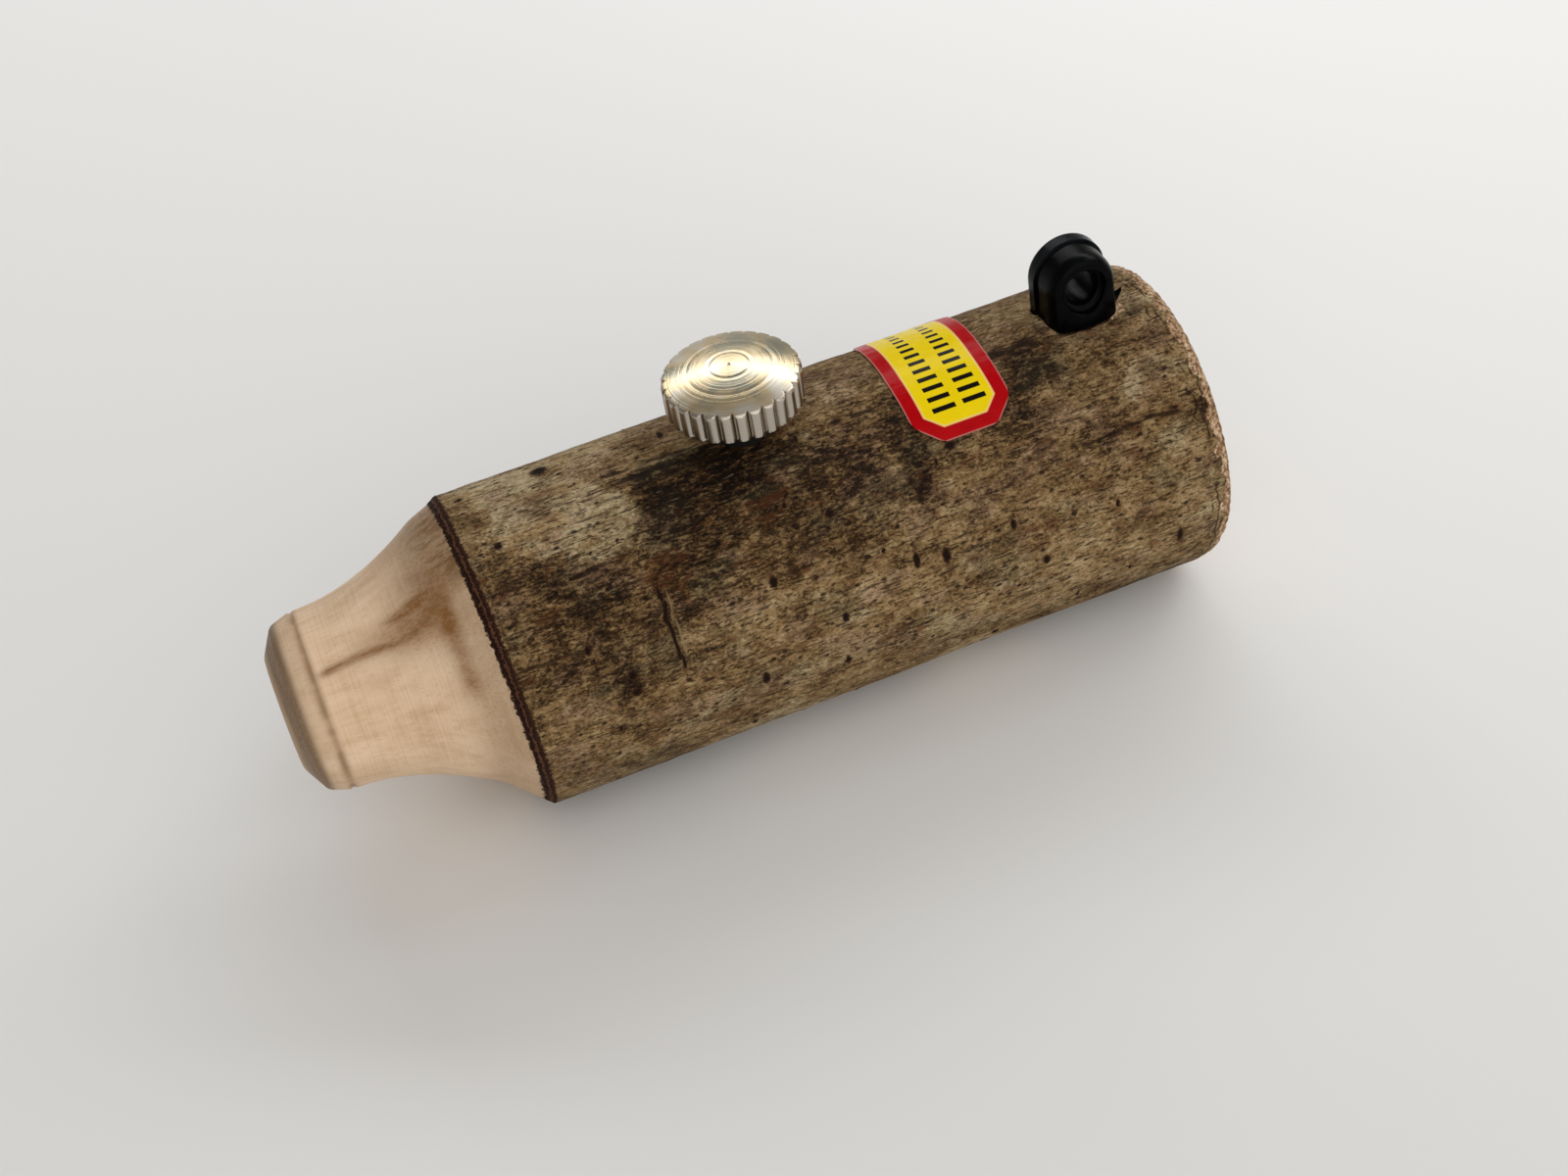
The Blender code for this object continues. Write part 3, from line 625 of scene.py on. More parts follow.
def hazel_finish():
    """Bark and bare wood, with the dark jagged layers of the cut bark between them."""
    hazel = Finish("hazel", specular=0.12)
    bark, bark_roughness, bark_height = bark_layer(hazel)
    wood, wood_roughness, wood_height = wood_layer(hazel)
    depth = hazel.mark("edge") + hazel.noise(2.0, 3.0, 4.0, 0.7).swing(1.2)
    layers = depth.ramp(
        (0.0, (0.04, 0.015, 0.007)), (0.25, (0.014, 0.004, 0.002)), (0.42, (0.15, 0.06, 0.03)),
        (0.6, (0.012, 0.0035, 0.002)), (0.9, (0.03, 0.009, 0.004)))
    in_wood = depth.step(0.96, 1.08)
    hazel.set("Base Color", cover(bark, (depth.step(-0.25, -0.1), layers), (in_wood, wood)))
    hazel.set("Roughness", in_wood.step(0.0, 1.0, bark_roughness, wood_roughness))
    hazel.bump(in_wood.step(0.0, 1.0, bark_height, wood_height * 0.3), 0.11)
    return hazel.material


def end_grain_finish():
    wood = Finish("end_grain", roughness=0.75)
    fibres = wood.noise(0.4, 4.0)
    rings = wood.mark("rings")
    wood.set("Base Color", cover(
        (0.58, 0.41, 0.255),
        (rings.step(0.2, 0.95, 0.0, 0.6), (0.40, 0.25, 0.135)),
        (fibres.step(0.5, 0.75, 0.0, 0.5), (0.30, 0.175, 0.09)),
        (wood.mark("rim"), (0.10, 0.045, 0.022)),
    ))
    wood.bump(fibres + rings * 0.2, 0.08)
    return wood.material


def nickel_finish():
    """Clouded nickel, with glints that run outwards across its turned rings."""
    nickel = Finish("turned_nickel", metallic=1.0)
    cloud = nickel.noise(0.32, 0.32, 2.0)
    flank = nickel.mark("flank")
    nickel.set("Base Color", cover(
        cloud.ramp((0.38, (0.40, 0.37, 0.275)), (0.5, (0.56, 0.445, 0.27)), (0.62, (0.55, 0.50, 0.42))),
        (flank, (0.52, 0.465, 0.40)),
        # Dirt and painted shade: the bottoms of the flutes are darker, standing in for the shade in them
        (nickel.mark("grime_and_shade"), (0.13, 0.10, 0.075)),
    ))
    nickel.set("Roughness", cloud.step(0.3, 0.7, 0.24, 0.33) * flank.step(0.0, 1.0, 1.0, 0.7))
    nickel.set("Anisotropic", 0.5)
    nickel.set("Anisotropic Rotation", 0.25)
    nickel.bump(nickel.mark("turned") + nickel.noise(3.0, 3.0, 4.0) * 0.15, 0.012, 0.6)
    return nickel.material


def metal_finish(name, first, second, roughness, grain=(2.0, 2.0)):
    """Metal clouded with two colours."""
    metal = Finish(name, metallic=1.0)
    cloud = metal.noise(*grain)
    metal.set("Base Color", cloud.step(0.3, 0.7).mix(first, second))
    metal.set("Roughness", cloud.step(0.3, 0.7, roughness * 0.7, roughness * 1.4))
    metal.bump(cloud, 0.01, 0.4)
    return metal.material


def moulded_finish(name, first, second, smoothest, roughest, depth=0.02, specular=0.5, worn=False):
    """Plastic or rubber in two colours, the second in clouds or on worn places, lightened partly as painted
    sheen.
    """
    moulding = Finish(name, specular=specular)
    cloud = moulding.noise(0.9, 0.9)
    part = cloud.step(0.3, 0.7)
    # Worn places and painted highlight: the second colour where the mesh marks them
    if worn:
        part = moulding.mark("rubbed_and_sheen") * cloud.step(0.35, 0.65, 0.5, 1.0)
    moulding.set("Base Color", part.mix(first, second))
    moulding.set("Roughness", cloud.step(0.3, 0.7, smoothest, roughest))
    moulding.bump(moulding.noise(9.0, 9.0, 2.0) + cloud * 0.6, depth, 0.5)
    return moulding.material


def label_finish():
    """Red border, yellow field and two rows of plain graded bars."""
    paper = Finish("printed_paper", specular=0.05)
    inset = paper.mark("inset")
    along = paper.mark("along")
    mottle = paper.noise(0.8, 0.8)
    count = (along - BARS_START).math("DIVIDE", BAR_PITCH)
    stripe = abs(count.math("FRACT") - 0.5).step(0.24, 0.19)
    stripe = stripe * along.math("GREATER_THAN", BARS_START) * along.math("LESS_THAN", BARS_END)
    half = count.math("FLOOR") * (BAR_GROWTH / 2) + BAR_SHORTEST / 2
    bars = []
    for row in LABEL_ROWS:
        reach = (half - abs(paper.mark("across") - row)).step(-0.03, 0.03)
        bars.append((stripe * reach, (0.006, 0.005, 0.004)))
    yellow = mottle.mix((0.78, 0.56, 0.002), (0.86, 0.66, 0.006))
    paper.set("Base Color", cover(
        mottle.mix((0.34, 0.001, 0.003), (0.46, 0.003, 0.006)),
        (inset.step(LABEL_BORDER - 0.03, LABEL_BORDER + 0.03), yellow),
        (abs(inset - LABEL_BORDER).step(0.11, 0.05, 0.0, 0.75), (0.86, 0.62, 0.22)),
        *bars,
        (inset.step(0.12, 0.02, 0.0, 0.45), (0.62, 0.42, 0.36)),
    ))
    paper.set("Roughness", mottle.step(0.3, 0.7, 0.18, 0.28))
    paper.bump(mottle + paper.noise(0.3, 1.6) * 1.5, 0.05, 0.7)
    return paper.material


# Hazel rod
def off_axis(stations):
    """How far the mouthpiece's axis lies from the rod's own, as side and height."""
    part = smoothstep(stations, ECCENTRIC_NONE, ECCENTRIC_FULL)
    return part * ECCENTRICITY * cos(ECCENTRIC_ANGLE), part * ECCENTRICITY * sin(ECCENTRIC_ANGLE)


def rod_profile():
    """Rows of (station, radius, zone), once round the section from the rear bore's mouth."""
    def straight(part):
        return part, part

    def rounded(part):
        return 1 - cos(part * pi / 2), sin(part * pi / 2)

    def cove(part):
        return part, 1 - (1 - part) ** COVE_POWER

    def groove(part):
        return part, part + GROOVE_DEPTH / NECK_STEP * sin(pi * part) ** 2

    def bevel(part):
        return part, part ** LIP_POWER

    corners = [
        (LENGTH, CHAMBER_RADIUS, 16, END, straight),
        (LENGTH, ROD_RADIUS - REAR_ROUND_DEPTH, 12, BARK, rounded),
        (LENGTH - REAR_ROUND_LENGTH, ROD_RADIUS, BARK_ROWS, BARK, straight),
        (BARK_START, ROD_RADIUS, 6, EDGE, straight),
        (COVE_END, COVE_EDGE_RADIUS, 72, WOOD, cove),
        (COVE_START + GROOVE_HALF_WIDTH, NECK_RADIUS, 9, WOOD, groove),
        (COVE_START - GROOVE_HALF_WIDTH, NECK_RADIUS - NECK_STEP, 8, WOOD, straight),
        (LIP_STATION, LIP_RADIUS, 4, WOOD, bevel),
        (LIP_STATION - LIP_BEVEL_LENGTH, LIP_RADIUS - LIP_BEVEL_DEPTH, 8, WOOD, straight),
        (0.1, TIP_RADIUS + 0.12, 3, WOOD, straight),
        (0.0, TIP_RADIUS - 0.15, 4, WOOD, straight),
        (0.0, BLOW_RADIUS + BLOW_BEVEL, 4, WOOD, straight),
        (BLOW_BEVEL, BLOW_RADIUS, 24, WOOD, straight),
        (CHAMBER_START, BLOW_RADIUS, 4, WOOD, straight),
        (CHAMBER_START, CHAMBER_RADIUS, 24, WOOD, straight),
    ]
    rows = []
    for corner, following in zip(corners, corners[1:] + corners[:1]):
        station, radius, count, zone, bend = corner
        length, rise = following[0] - station, following[1] - radius
        for part in np.linspace(0, 1, count, endpoint=False):
            along, out = bend(part)
            rows.append((station + length * along, radius + rise * out, zone))
    return rows


def arc_from(degrees, angle):
    """Distance round the bark from an angle, the shorter way."""
    return np.radians((degrees - angle + 180) % 360 - 180) * ROD_RADIUS


def edge_shift(degrees):
    """The cut through the bark is a little out of square to the rod."""
    return 0.1 - 0.35 * np.cos(np.radians(degrees + 40))


def blotch(stations, degrees, place):
    """A soft round patch: 1 at its middle, fading out past its length and width."""
    station, angle, length, width = place
    return bell(stations, station, length) * bell(arc_from(degrees, angle), 0, width)


def lenticels():
    """The marks of the near side, and others scattered over all of the bark."""
    rng = random.Random(7)
    marks = list(LENTICELS)
    for _ in range(70):
        angle = rng.uniform(112, 322)
        marks.append((rng.uniform(18, 70), angle, rng.uniform(0.25, 0.5), rng.uniform(0.4, 1.1)))
    for _ in range(26):
        station = rng.uniform(18, 70)
        marks.append((station, rng.uniform(-38, 112), rng.uniform(0.18, 0.3), rng.uniform(0.2, 0.45)))
    return marks


def back_patches(seed):
    """Patches scattered over the back and the underside."""
    rng = random.Random(seed)
    return [(rng.uniform(18, 70), rng.uniform(125, 310), rng.uniform(2.0, 6.0), rng.uniform(2.0, 4.5))
            for _ in range(9)]


def spot_map(stations, degrees):
    spots = np.zeros(len(stations))
    for station, angle, length, width in lenticels():
        near = blotch(stations, degrees, (station, angle, length * 0.62, width * 0.62))
        spots = np.maximum(spots, near)
    return spots


def crack_map(stations, degrees, points):
    """Fine dark lines along the grain, as soft ridges that the material narrows."""
    sway = field(points, 0.3, 0.3, 5.0)
    cracks = np.zeros(len(stations))
    for start, end, angle, width in GRAIN_LINES:
        across = arc_from(degrees, angle) + 0.35 * sway
        cracks = np.maximum(cracks, window(stations, start, end, 2) * bell(across, 0, width))
    return cracks


def scar_map(stations, degrees, points):
    """A narrow cut across the grain: 1 in its groove, -1 on the raised lip beside it."""
    offset = stations - SCAR_STATION - SCAR_SWAY * field(points, 0.3, 0.3, 5.0)
    offset -= SCAR_WOBBLE * field(points, 0.2, 0.9, 9.0)
    return window(degrees, *SCAR_ANGLES, 6) * (bell(offset, 0, 0.21) - bell(offset, 0.42, 0.17))


def label_cover(stations, degrees):
    """1 where the label presses on the bark, fading out round it."""
    (start, _near, _low), (end, _far, _high) = node_box("label")
    along = window(stations, start - 1.1, end + 1.1, 0.8)
    arc = np.radians(degrees) * ROD_RADIUS
    return along * window(arc, -LABEL_FAR_ARC - 1.2, LABEL_NEAR_ARC + 1.2, 0.8)


def bark_relief(points, stations, degrees):
    """How far the bark stands out from a true cylinder."""
    lumps = 0.13 * field(points, 0.08, 0.1, 3.0)
    ridges = 0.055 * field(points, 0.2, 1.0, 11.0)
    grain = 0.04 * field(points, 0.8, 2.2, 17.0)
    relief = lumps + ridges + grain
    spots = spot_map(stations, degrees)
    relief += 0.05 * smoothstep(spots, 0.1, 0.4) - 0.11 * smoothstep(spots, 0.45, 0.9)
    relief -= 0.1 * smoothstep(crack_map(stations, degrees, points), 0.4, 1.0)
    relief -= 0.14 * scar_map(stations, degrees, points)
    fibres = 0.14 * field(points, 1.5, 2.2, 29.0) + 0.12 * field(points, 3.0, 4.1, 67.0)
    relief += fibres * smoothstep(stations, LENGTH - 1.3, LENGTH - 0.4)
    pressed = label_cover(stations, degrees)
    return relief * (1 - pressed) - 0.03 * pressed


def rod_points():
    """Rows of points round the rod's section, and the zone of each row."""
    stations, radii, zones = (np.array(column) for column in zip(*rod_profile()))
    stations = stations[:, None] + np.zeros(ROD_STEPS)
    radii = radii[:, None] + np.zeros(ROD_STEPS)
    angles = np.linspace(-pi, pi, ROD_STEPS, endpoint=False)[None, :] + 0 * stations
    bark = zones == BARK
    on_bark = np.stack([stations, -radii * np.sin(angles), radii * np.cos(angles)], -1)[bark].reshape(-1, 3)
    relief = bark_relief(on_bark, stations[bark].ravel(), np.degrees(angles[bark]).ravel())
    radii[bark] += relief.reshape(-1, ROD_STEPS)
    ragged = zones == EDGE
    ring = np.stack([0 * angles, -ROD_RADIUS * np.sin(angles), ROD_RADIUS * np.cos(angles)], -1)[0]
    jag = 0.16 * field(ring, 1.0, 0.5, 41.0) + 0.09 * field(ring, 1.0, 2.6, 43.0)
    stations[ragged] += jag
    radii[ragged] += 0.1 * field(ring, 1.0, 1.6, 47.0)
    outside = np.isin(zones, (BARK, EDGE)) | ((zones == WOOD) & (radii[:, 0] > NECK_RADIUS + 0.5))
    near_edge = bell(stations, COVE_END, 1.8) * outside[:, None]
    stations += near_edge * edge_shift(np.degrees(angles))
    first_bark_row = np.where(bark)[0][-1]
    for back, share in enumerate((0.75, 0.5, 0.25)):
        stations[first_bark_row - back] += share * jag
    side, height = off_axis(stations)
    points = np.stack([stations, side - radii * np.sin(angles), height + radii * np.cos(angles)], -1)
    points[..., 2] = np.maximum(points[..., 2], -AXIS_Z / MM)
    return points, zones


def eye_swell(across, deep):
    """How far the eye bulges towards the near side at its foot."""
    depth_share = (EYE_FAR - deep) / (EYE_FAR - EYE_NEAR)
    return EYE_SWELL * depth_share * np.clip(1 - (across / EYE_RADIUS) ** 2, 0, 1)


def eye_seat():
    """Cutter for the hollow under the eye: the foot's own outline, a little larger."""
    edge = [(radius + SEAT_GAP, deep) for radius, deep in eye_outside(EYE_RADIUS)]
    half_width = edge[0][0]
    edge[0] = (half_width, EYE_NEAR - SEAT_GAP)
    edge[-1] = (edge[-1][0], EYE_FAR + SEAT_GAP)
    loop = edge + [(-across, deep) for across, deep in reversed(edge)]
    loop += [(across, edge[0][1]) for across in np.linspace(-half_width, half_width, 11)[1:-1]]
    loop = [(EYE_STATION + across, deep - eye_swell(across, deep)) for across, deep in loop]
    middle = [(EYE_STATION, EYE_SIDE)] * len(loop)
    low, high = EYE_FOOT - SEAT_GAP, EYE_FOOT + SEAT_HEIGHT
    return add_form("seat", [
        [(*place, height) for place in places]
        for places, height in ((middle, low), (loop, low), (loop, high), (middle, high))])


def rod_cutters():
    """Holes for the bush under the ring and for the eye's stem, and the eye's seat."""
    (start, _near, _bottom), (end, _far, bush_top) = node_box("threaded_bush")
    bush_radius = (end - start) / 2 + BORE_GAP
    shoulder = bush_top + BORE_GAP
    mouth_radius = RING_RADIUS + SEAT_GAP
    bush_hole = [(ROD_RADIUS + 4, mouth_radius), (shoulder, mouth_radius), (shoulder, bush_radius),
                 (CHAMBER_RADIUS / 2, bush_radius)]
    stem_radius = EYE_STEM_RADIUS + BORE_GAP
    stem_hole = [(ROD_RADIUS, stem_radius), (EYE_BOTTOM - 0.1, stem_radius)]
    return [
        round_cutter("bush_hole", SCREW_STATION, 0.0, bush_hole),
        round_cutter("stem_hole", EYE_STATION, EYE_SIDE, stem_hole),
        eye_seat(),
    ]


def torn_map(points):
    """Bark torn up along the near and right sides of the lanyard eye's seat."""
    across = points[:, 0] - EYE_STATION
    near_gap = EYE_NEAR - eye_swell(across, EYE_NEAR) - points[:, 1]
    outside = np.maximum(np.abs(across) - EYE_RIM_RADIUS, near_gap)
    patchy = smoothstep(field(points, 1.3, 1.3, 71.0), -0.1, 0.25)
    on_top = (points[:, 2] > 0) & (points[:, 1] < EYE_FAR)
    return on_top * smoothstep(across, -0.5, 1.0) * patchy * smoothstep(outside, 0.4, 0.15)


def wood_streaks(stations, degrees, points):
    """Brown streaks along the mouthpiece, and a line that runs on beside the bark."""
    turn = degrees + 3.0 * field(points, 0.2, 0.2, 31.0)
    ahead = np.clip(stations - COVE_START, 0, 12)
    core = 0.95 * bell(turn, 27, 2.3 + 0.25 * ahead) * smoothstep(stations, 2.8, 4.2)
    halo = 0.95 * bell(turn, 24, 3.0 + 1.1 * ahead) * smoothstep(stations, 4, 12)
    end = smoothstep(stations, 14.6, 13.4)
    short = 0.9 * bell(turn, 15, 2.2) * smoothstep(stations, 8, 10.5) * smoothstep(stations, 13.5, 11.5)
    bend = stations - 0.25 * field(points, 0.4, 0.4, 37.0)
    line = 0.55 * bell(bend, 13.3, 0.6) * window(degrees, 24, 66, 10)
    knot = 0.3 * blotch(stations, degrees, (13.6, 58, 0.6, 1.8))
    return np.clip(np.maximum(core, halo) * end + short + line + knot, 0, 1)


def wood_stain(stations, degrees):
    """Brown on the top of the cove and all round it beside the bark."""
    top = smoothstep(stations, 8, 15) * smoothstep(degrees, 38, 10) * smoothstep(degrees, -60, -20)
    return np.maximum(top, 0.45 * smoothstep(stations, 11.0, 14.5))


# Painted shade: how far the lip and the chamfer are darkened, less on the flat end face
def tip_painted_shade(stations):
    tip_darkening = 0.8 * smoothstep(stations, 1.9, 1.2) + 0.2 * smoothstep(stations, 2.8, 1.9)
    return tip_darkening * (0.55 + 0.45 * smoothstep(stations, 0.0, 0.5))


def patch_maps(stations, degrees, points):
    """Patches with ragged edges, for each kind of patch."""
    ragged_stations = stations + 1.1 * field(points, 0.45, 0.45, 53.0)
    ragged_degrees = degrees + 5.0 * field(points, 0.5, 0.5, 59.0)
    maps = {}
    for name, patches in PATCHES.items():
        places = patches + back_patches(BACK_SEEDS[name])
        maps[name] = sum(blotch(ragged_stations, ragged_degrees, place) for place in places)
    maps["dark"] *= 1 - smoothstep(degrees, *DARK_PATCH_FADE) * smoothstep(degrees, *DARK_PATCH_EDGE)
    return {name: np.clip(values, 0, PATCH_LIMIT) for name, values in maps.items()}


def mark_rod(mesh):
    """Point attributes that place the marks of bark and wood."""
    points = mesh_points(mesh)
    stations = points[:, 0]
    degrees = np.degrees(np.arctan2(-points[:, 1], points[:, 2]))
    radii = np.hypot(points[:, 1], points[:, 2])
    depth = (BARK_START + edge_shift(degrees) - stations) / (BARK_START - COVE_END)
    fray = smoothstep(stations + 0.6 * field(points, 1.2, 1.0, 13.0), LENGTH - 1.3, LENGTH - 0.6)
    waved = radii + 0.4 * field(points, 0.1, 0.25, 19.0) + 0.1 * field(points, 0.1, 0.9, 21.0)
    marks = {
        **patch_maps(stations, degrees, points),
        "spot": spot_map(stations, degrees),
        "crack": crack_map(stations, degrees, points),
        "scar": scar_map(stations, degrees, points),
        "from_rear": np.clip(LENGTH - stations, 0, 8),
        "edge": np.where(radii < UNDER_BARK, 3.0, np.clip(depth, -3, 3)),
        "fray": np.maximum(fray, torn_map(points)),
        "streak": wood_streaks(stations, degrees, points),
        "stain": wood_stain(stations, degrees),
        "groove": bell(stations, COVE_START, 0.36),
        "tip": tip_painted_shade(stations),
        "rings": np.sin(waved * 6.3 + 1.5 * np.sin(waved * 1.3)),
        "rim": smoothstep(radii, 11.3, 11.8),
    }
    for name, values in marks.items():
        set_attribute(mesh, name, values)


def make_rod():
    points, zones = rod_points()
    rod = add_form("hazel_rod", points, hazel_finish(), end_grain_finish(), ring_rows=True)
    finishes = np.repeat(zones == END, ROD_STEPS).astype(np.int32)
    rod.data.polygons.foreach_set("material_index", finishes)
    boolean(rod, rod_cutters(), "DIFFERENCE")
    mark_rod(rod.data)
    smooth(rod, 60)
    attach(rod, "call_body")
    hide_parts("wooden_body")


# Thumb screw
def dome_height(radius):
    """Height of the round dome above the knob's underside."""
    rise = KNOB_HEIGHT - KNOB_RIM
    ball = (KNOB_RADIUS ** 2 + rise ** 2) / (2 * rise)
    return KNOB_HEIGHT - ball + sqrt(ball ** 2 - radius ** 2)


def knob_profile():
    """(height, radius) from the middle of the dome down to the socket for the stem."""
    profile = []
    for radius in np.concatenate([np.linspace(0, 0.2, 6), np.linspace(0.3, FACE_RADIUS, 80)]):
        height = dome_height(radius)
        for ring, depth, width in KNOB_RINGS:
            height -= depth * bell(radius, ring, width)
        profile.append((height, max(radius, ON_AXIS)))
    rim = dome_height(FACE_RADIUS)
    socket_radius = STEM_RADIUS + SOCKET_GAP
    bevel = [(rim - 0.04, FACE_RADIUS + 0.06), (rim - 0.12, KNOB_RADIUS - 0.04), (rim - 0.2, KNOB_RADIUS)]
    sides = [(height, KNOB_RADIUS) for height in np.linspace(rim - 0.4, 0.2, 8)]
    foot = [(0.04, KNOB_RADIUS), (0.0, KNOB_RADIUS - 0.05), (0.0, 3.4), (0.0, socket_radius)]
    socket = [(SOCKET_HEIGHT, socket_radius), (SOCKET_HEIGHT + 0.05, ON_AXIS)]
    return profile + bevel + sides + foot + socket


def make_knob():
    (_start, _near, bottom), _high = node_box("screw_knob")
    heights, radii = np.array(knob_profile()).T[:, :, None]
    steps = FLUTES * FLUTE_STEPS
    turn = np.arange(steps) / FLUTE_STEPS % 1.0
    limit = KNOB_RADIUS - FLUTE_DEPTH * (1 - 2 * np.abs(turn - 0.5)) ** FLUTE_POWER
    points = turned_points(heights + bottom, np.minimum(radii, limit), circle(steps), SCREW_STATION)
    knob = add_form("thumb_screw", points, nickel_finish())
    places = mesh_points(knob.data) - np.array((SCREW_STATION, 0.0, bottom))
    reach = np.hypot(places[:, 0], places[:, 1])
    below_face = places[:, 2] < dome_height(FACE_RADIUS) - 0.03
    set_attribute(knob.data, "turned", [noise.noise((radius * 9, 0.0, 0.0)) for radius in reach])
    set_attribute(knob.data, "flank", below_face)
    # Dirt and painted shade in the bottoms of the flutes on the flank
    set_attribute(knob.data, "grime_and_shade", below_face * smoothstep(KNOB_RADIUS - reach, *GRIME_AND_SHADE_DEPTHS))
    smooth(knob, 32)
    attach(knob, "tuning_screw")
    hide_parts("screw_knob")


def make_stem():
    """A right-hand thread between the plain ends of the stem."""
    (_start, _near, bottom), (_end, _far, top) = node_box("screw_stem")
    pin_top = bottom + PIN_LENGTH
    angles = circle(STEM_STEPS)
    rows = int((top - pin_top) / THREAD_PITCH * THREAD_ROWS)
    heights = np.linspace(top - 0.2, pin_top + 0.2, rows)[:, None]
    phase = (heights / THREAD_PITCH - angles / (2 * pi)) % 1.0
    depth = THREAD_DEPTH * np.clip(2.6 * np.abs(phase - 0.5) - 0.15, 0, 1)
    fade = smoothstep(heights, pin_top + 0.2, pin_top + 0.7) * smoothstep(heights, top - 0.2, top - 0.6)
    thread = turned_points(heights, STEM_RADIUS - depth * fade - 0.1 * (1 - fade), angles, SCREW_STATION)
    head = [(top, ON_AXIS), (top, STEM_RADIUS - 0.25)]
    pin = [(pin_top, 1.2), (pin_top, PIN_RADIUS), (bottom + 0.1, PIN_RADIUS), (bottom, PIN_RADIUS - 0.1),
           (bottom, ON_AXIS)]
    ends = [turned_profile(profile, STEM_STEPS, SCREW_STATION) for profile in (head, pin)]
    nickel = metal_finish("thread_nickel", (0.75, 0.72, 0.65), (0.6, 0.56, 0.48), 0.25)
    stem = add_form("screw_thread", np.concatenate([ends[0], thread, ends[1]]), nickel)
    smooth(stem, 40)
    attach(stem, "tuning_screw")
    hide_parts("screw_stem")


def make_friction_ring():
    (_start, _near, bottom), (_end, _far, top) = node_box("friction_ring")
    inner = STEM_RADIUS + RING_GAP
    profile = []
    for angle in pi / 2 - circle(RING_STEPS):
        across, up = (copysign(abs(part) ** RING_ROUNDNESS, part) for part in (cos(angle), sin(angle)))
        flash = RING_FLASH if abs(up) < 0.12 and across > 0 else 0.0
        height = (bottom + top) / 2 + (top - bottom) / 2 * up
        profile.append((height, (RING_RADIUS + inner) / 2 + (RING_RADIUS - inner) / 2 * across + flash))
    rubber = moulded_finish("rubber", (0.006, 0.006, 0.006), (0.010, 0.009, 0.009), 0.5, 0.7, specular=0.2)
    ring = add_form("rubber_ring", turned_profile(profile, 72, SCREW_STATION), rubber, ring_rows=True)
    smooth(ring, 40)
    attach(ring, "call_body")
    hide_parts("friction_ring")


# Lanyard eye
def eye_outside(outline):
    """The outside of the eye's section as (radius, side), from near to far."""
    step = EYE_FAR - EYE_RIM_THICKNESS
    rim = outline + EYE_RIM_RADIUS - EYE_RADIUS
    points = []
    for angle in np.linspace(pi / 2, 0, 9):
        points.append((outline - EYE_NEAR_ROUND * (1 - cos(angle)),
                       EYE_NEAR + EYE_NEAR_DEPTH * (1 - sin(angle))))
    points += [(outline, step - EYE_STEP_ROUND), (outline + EYE_STEP_ROUND, step),
               (rim - EYE_STEP_ROUND, step), (rim, step + EYE_STEP_ROUND)]
    for angle in np.linspace(0, pi / 2, 9):
        points.append((rim - EYE_FAR_ROUND * (1 - cos(angle)), EYE_FAR - EYE_FAR_ROUND * (1 - sin(angle))))
    return points


def eye_section(outline):
    """A closed section of the eye, from its hole out and back along the far side."""
    recess = EYE_NEAR + EYE_RECESS_DEPTH
    near_face = [
        (EYE_HOLE_RADIUS, recess + 0.12),
        (EYE_HOLE_RADIUS + 0.05, recess + 0.03),
        (EYE_HOLE_RADIUS + 0.14, recess),
        (EYE_RECESS_RADIUS - EYE_RECESS_ROUND, recess),
        (EYE_RECESS_RADIUS, recess - EYE_RECESS_ROUND),
        (EYE_RECESS_RADIUS, EYE_NEAR + EYE_RECESS_ROUND),
        (EYE_RECESS_RADIUS + EYE_RECESS_ROUND, EYE_NEAR),
    ]
    hole = [
        (EYE_HOLE_RADIUS + 0.12, EYE_FAR),
        (EYE_HOLE_RADIUS + 0.03, EYE_FAR - 0.03),
        (EYE_HOLE_RADIUS, EYE_FAR - 0.12),
        (EYE_HOLE_RADIUS, 0.3 * EYE_NEAR + 0.7 * EYE_FAR),
        (EYE_HOLE_RADIUS, 0.7 * EYE_NEAR + 0.3 * EYE_FAR),
    ]
    return near_face + eye_outside(outline) + hole


def burr():
    """A small torn spike of flash on the right of the eye, just above the bark."""
    rows = []
    middles = []
    for part in np.linspace(0, 1, 9):
        radius = BURR_RADIUS * (1 - part) ** 0.55 + 0.03
        middle = np.array((EYE_STATION + EYE_RADIUS - 0.25 + BURR_LENGTH * part,
                           EYE_NEAR + BURR_DEPTH - 0.15 * part,
                           EYE_FOOT + BURR_HEIGHT + BURR_RISE * part ** 2))
        middles.append(middle)
        rows.append([middle + radius * np.array((0.0, cos(angle), sin(angle)))
                     for angle in circle(BURR_STEPS)])
    return add_form("burr", [[middles[0]] * BURR_STEPS, *rows, [middles[-1]] * BURR_STEPS])


def eye_rows():
    """Sections of the eye round its hole. Below it they reach down to the foot."""
    drop = EYE_CENTRE - EYE_FOOT
    corner = atan2(drop, EYE_RADIUS)
    turns = [(0, pi, 72), (pi, pi + corner, 16),
             (pi + corner, 2 * pi - corner, 24), (2 * pi - corner, 2 * pi, 16)]
    angles = np.concatenate([np.linspace(start, end, count, endpoint=False) for start, end, count in turns])
    rows = []
    for angle in angles:
        across, up = cos(angle), sin(angle)
        outline = EYE_RADIUS
        if up < 0:
            outline = min(EYE_RADIUS / max(abs(across), 1e-6), drop / abs(up))
        row = []
        for radius, deep in eye_section(outline):
            height = max(EYE_CENTRE + radius * up, EYE_FOOT)
            low_share = smoothstep(height, EYE_CENTRE, EYE_FOOT + 0.5)
            bulge = low_share * eye_swell(radius * across, deep)
            row.append((EYE_STATION + radius * across, deep - bulge, height))
        rows.append(row)
    return rows


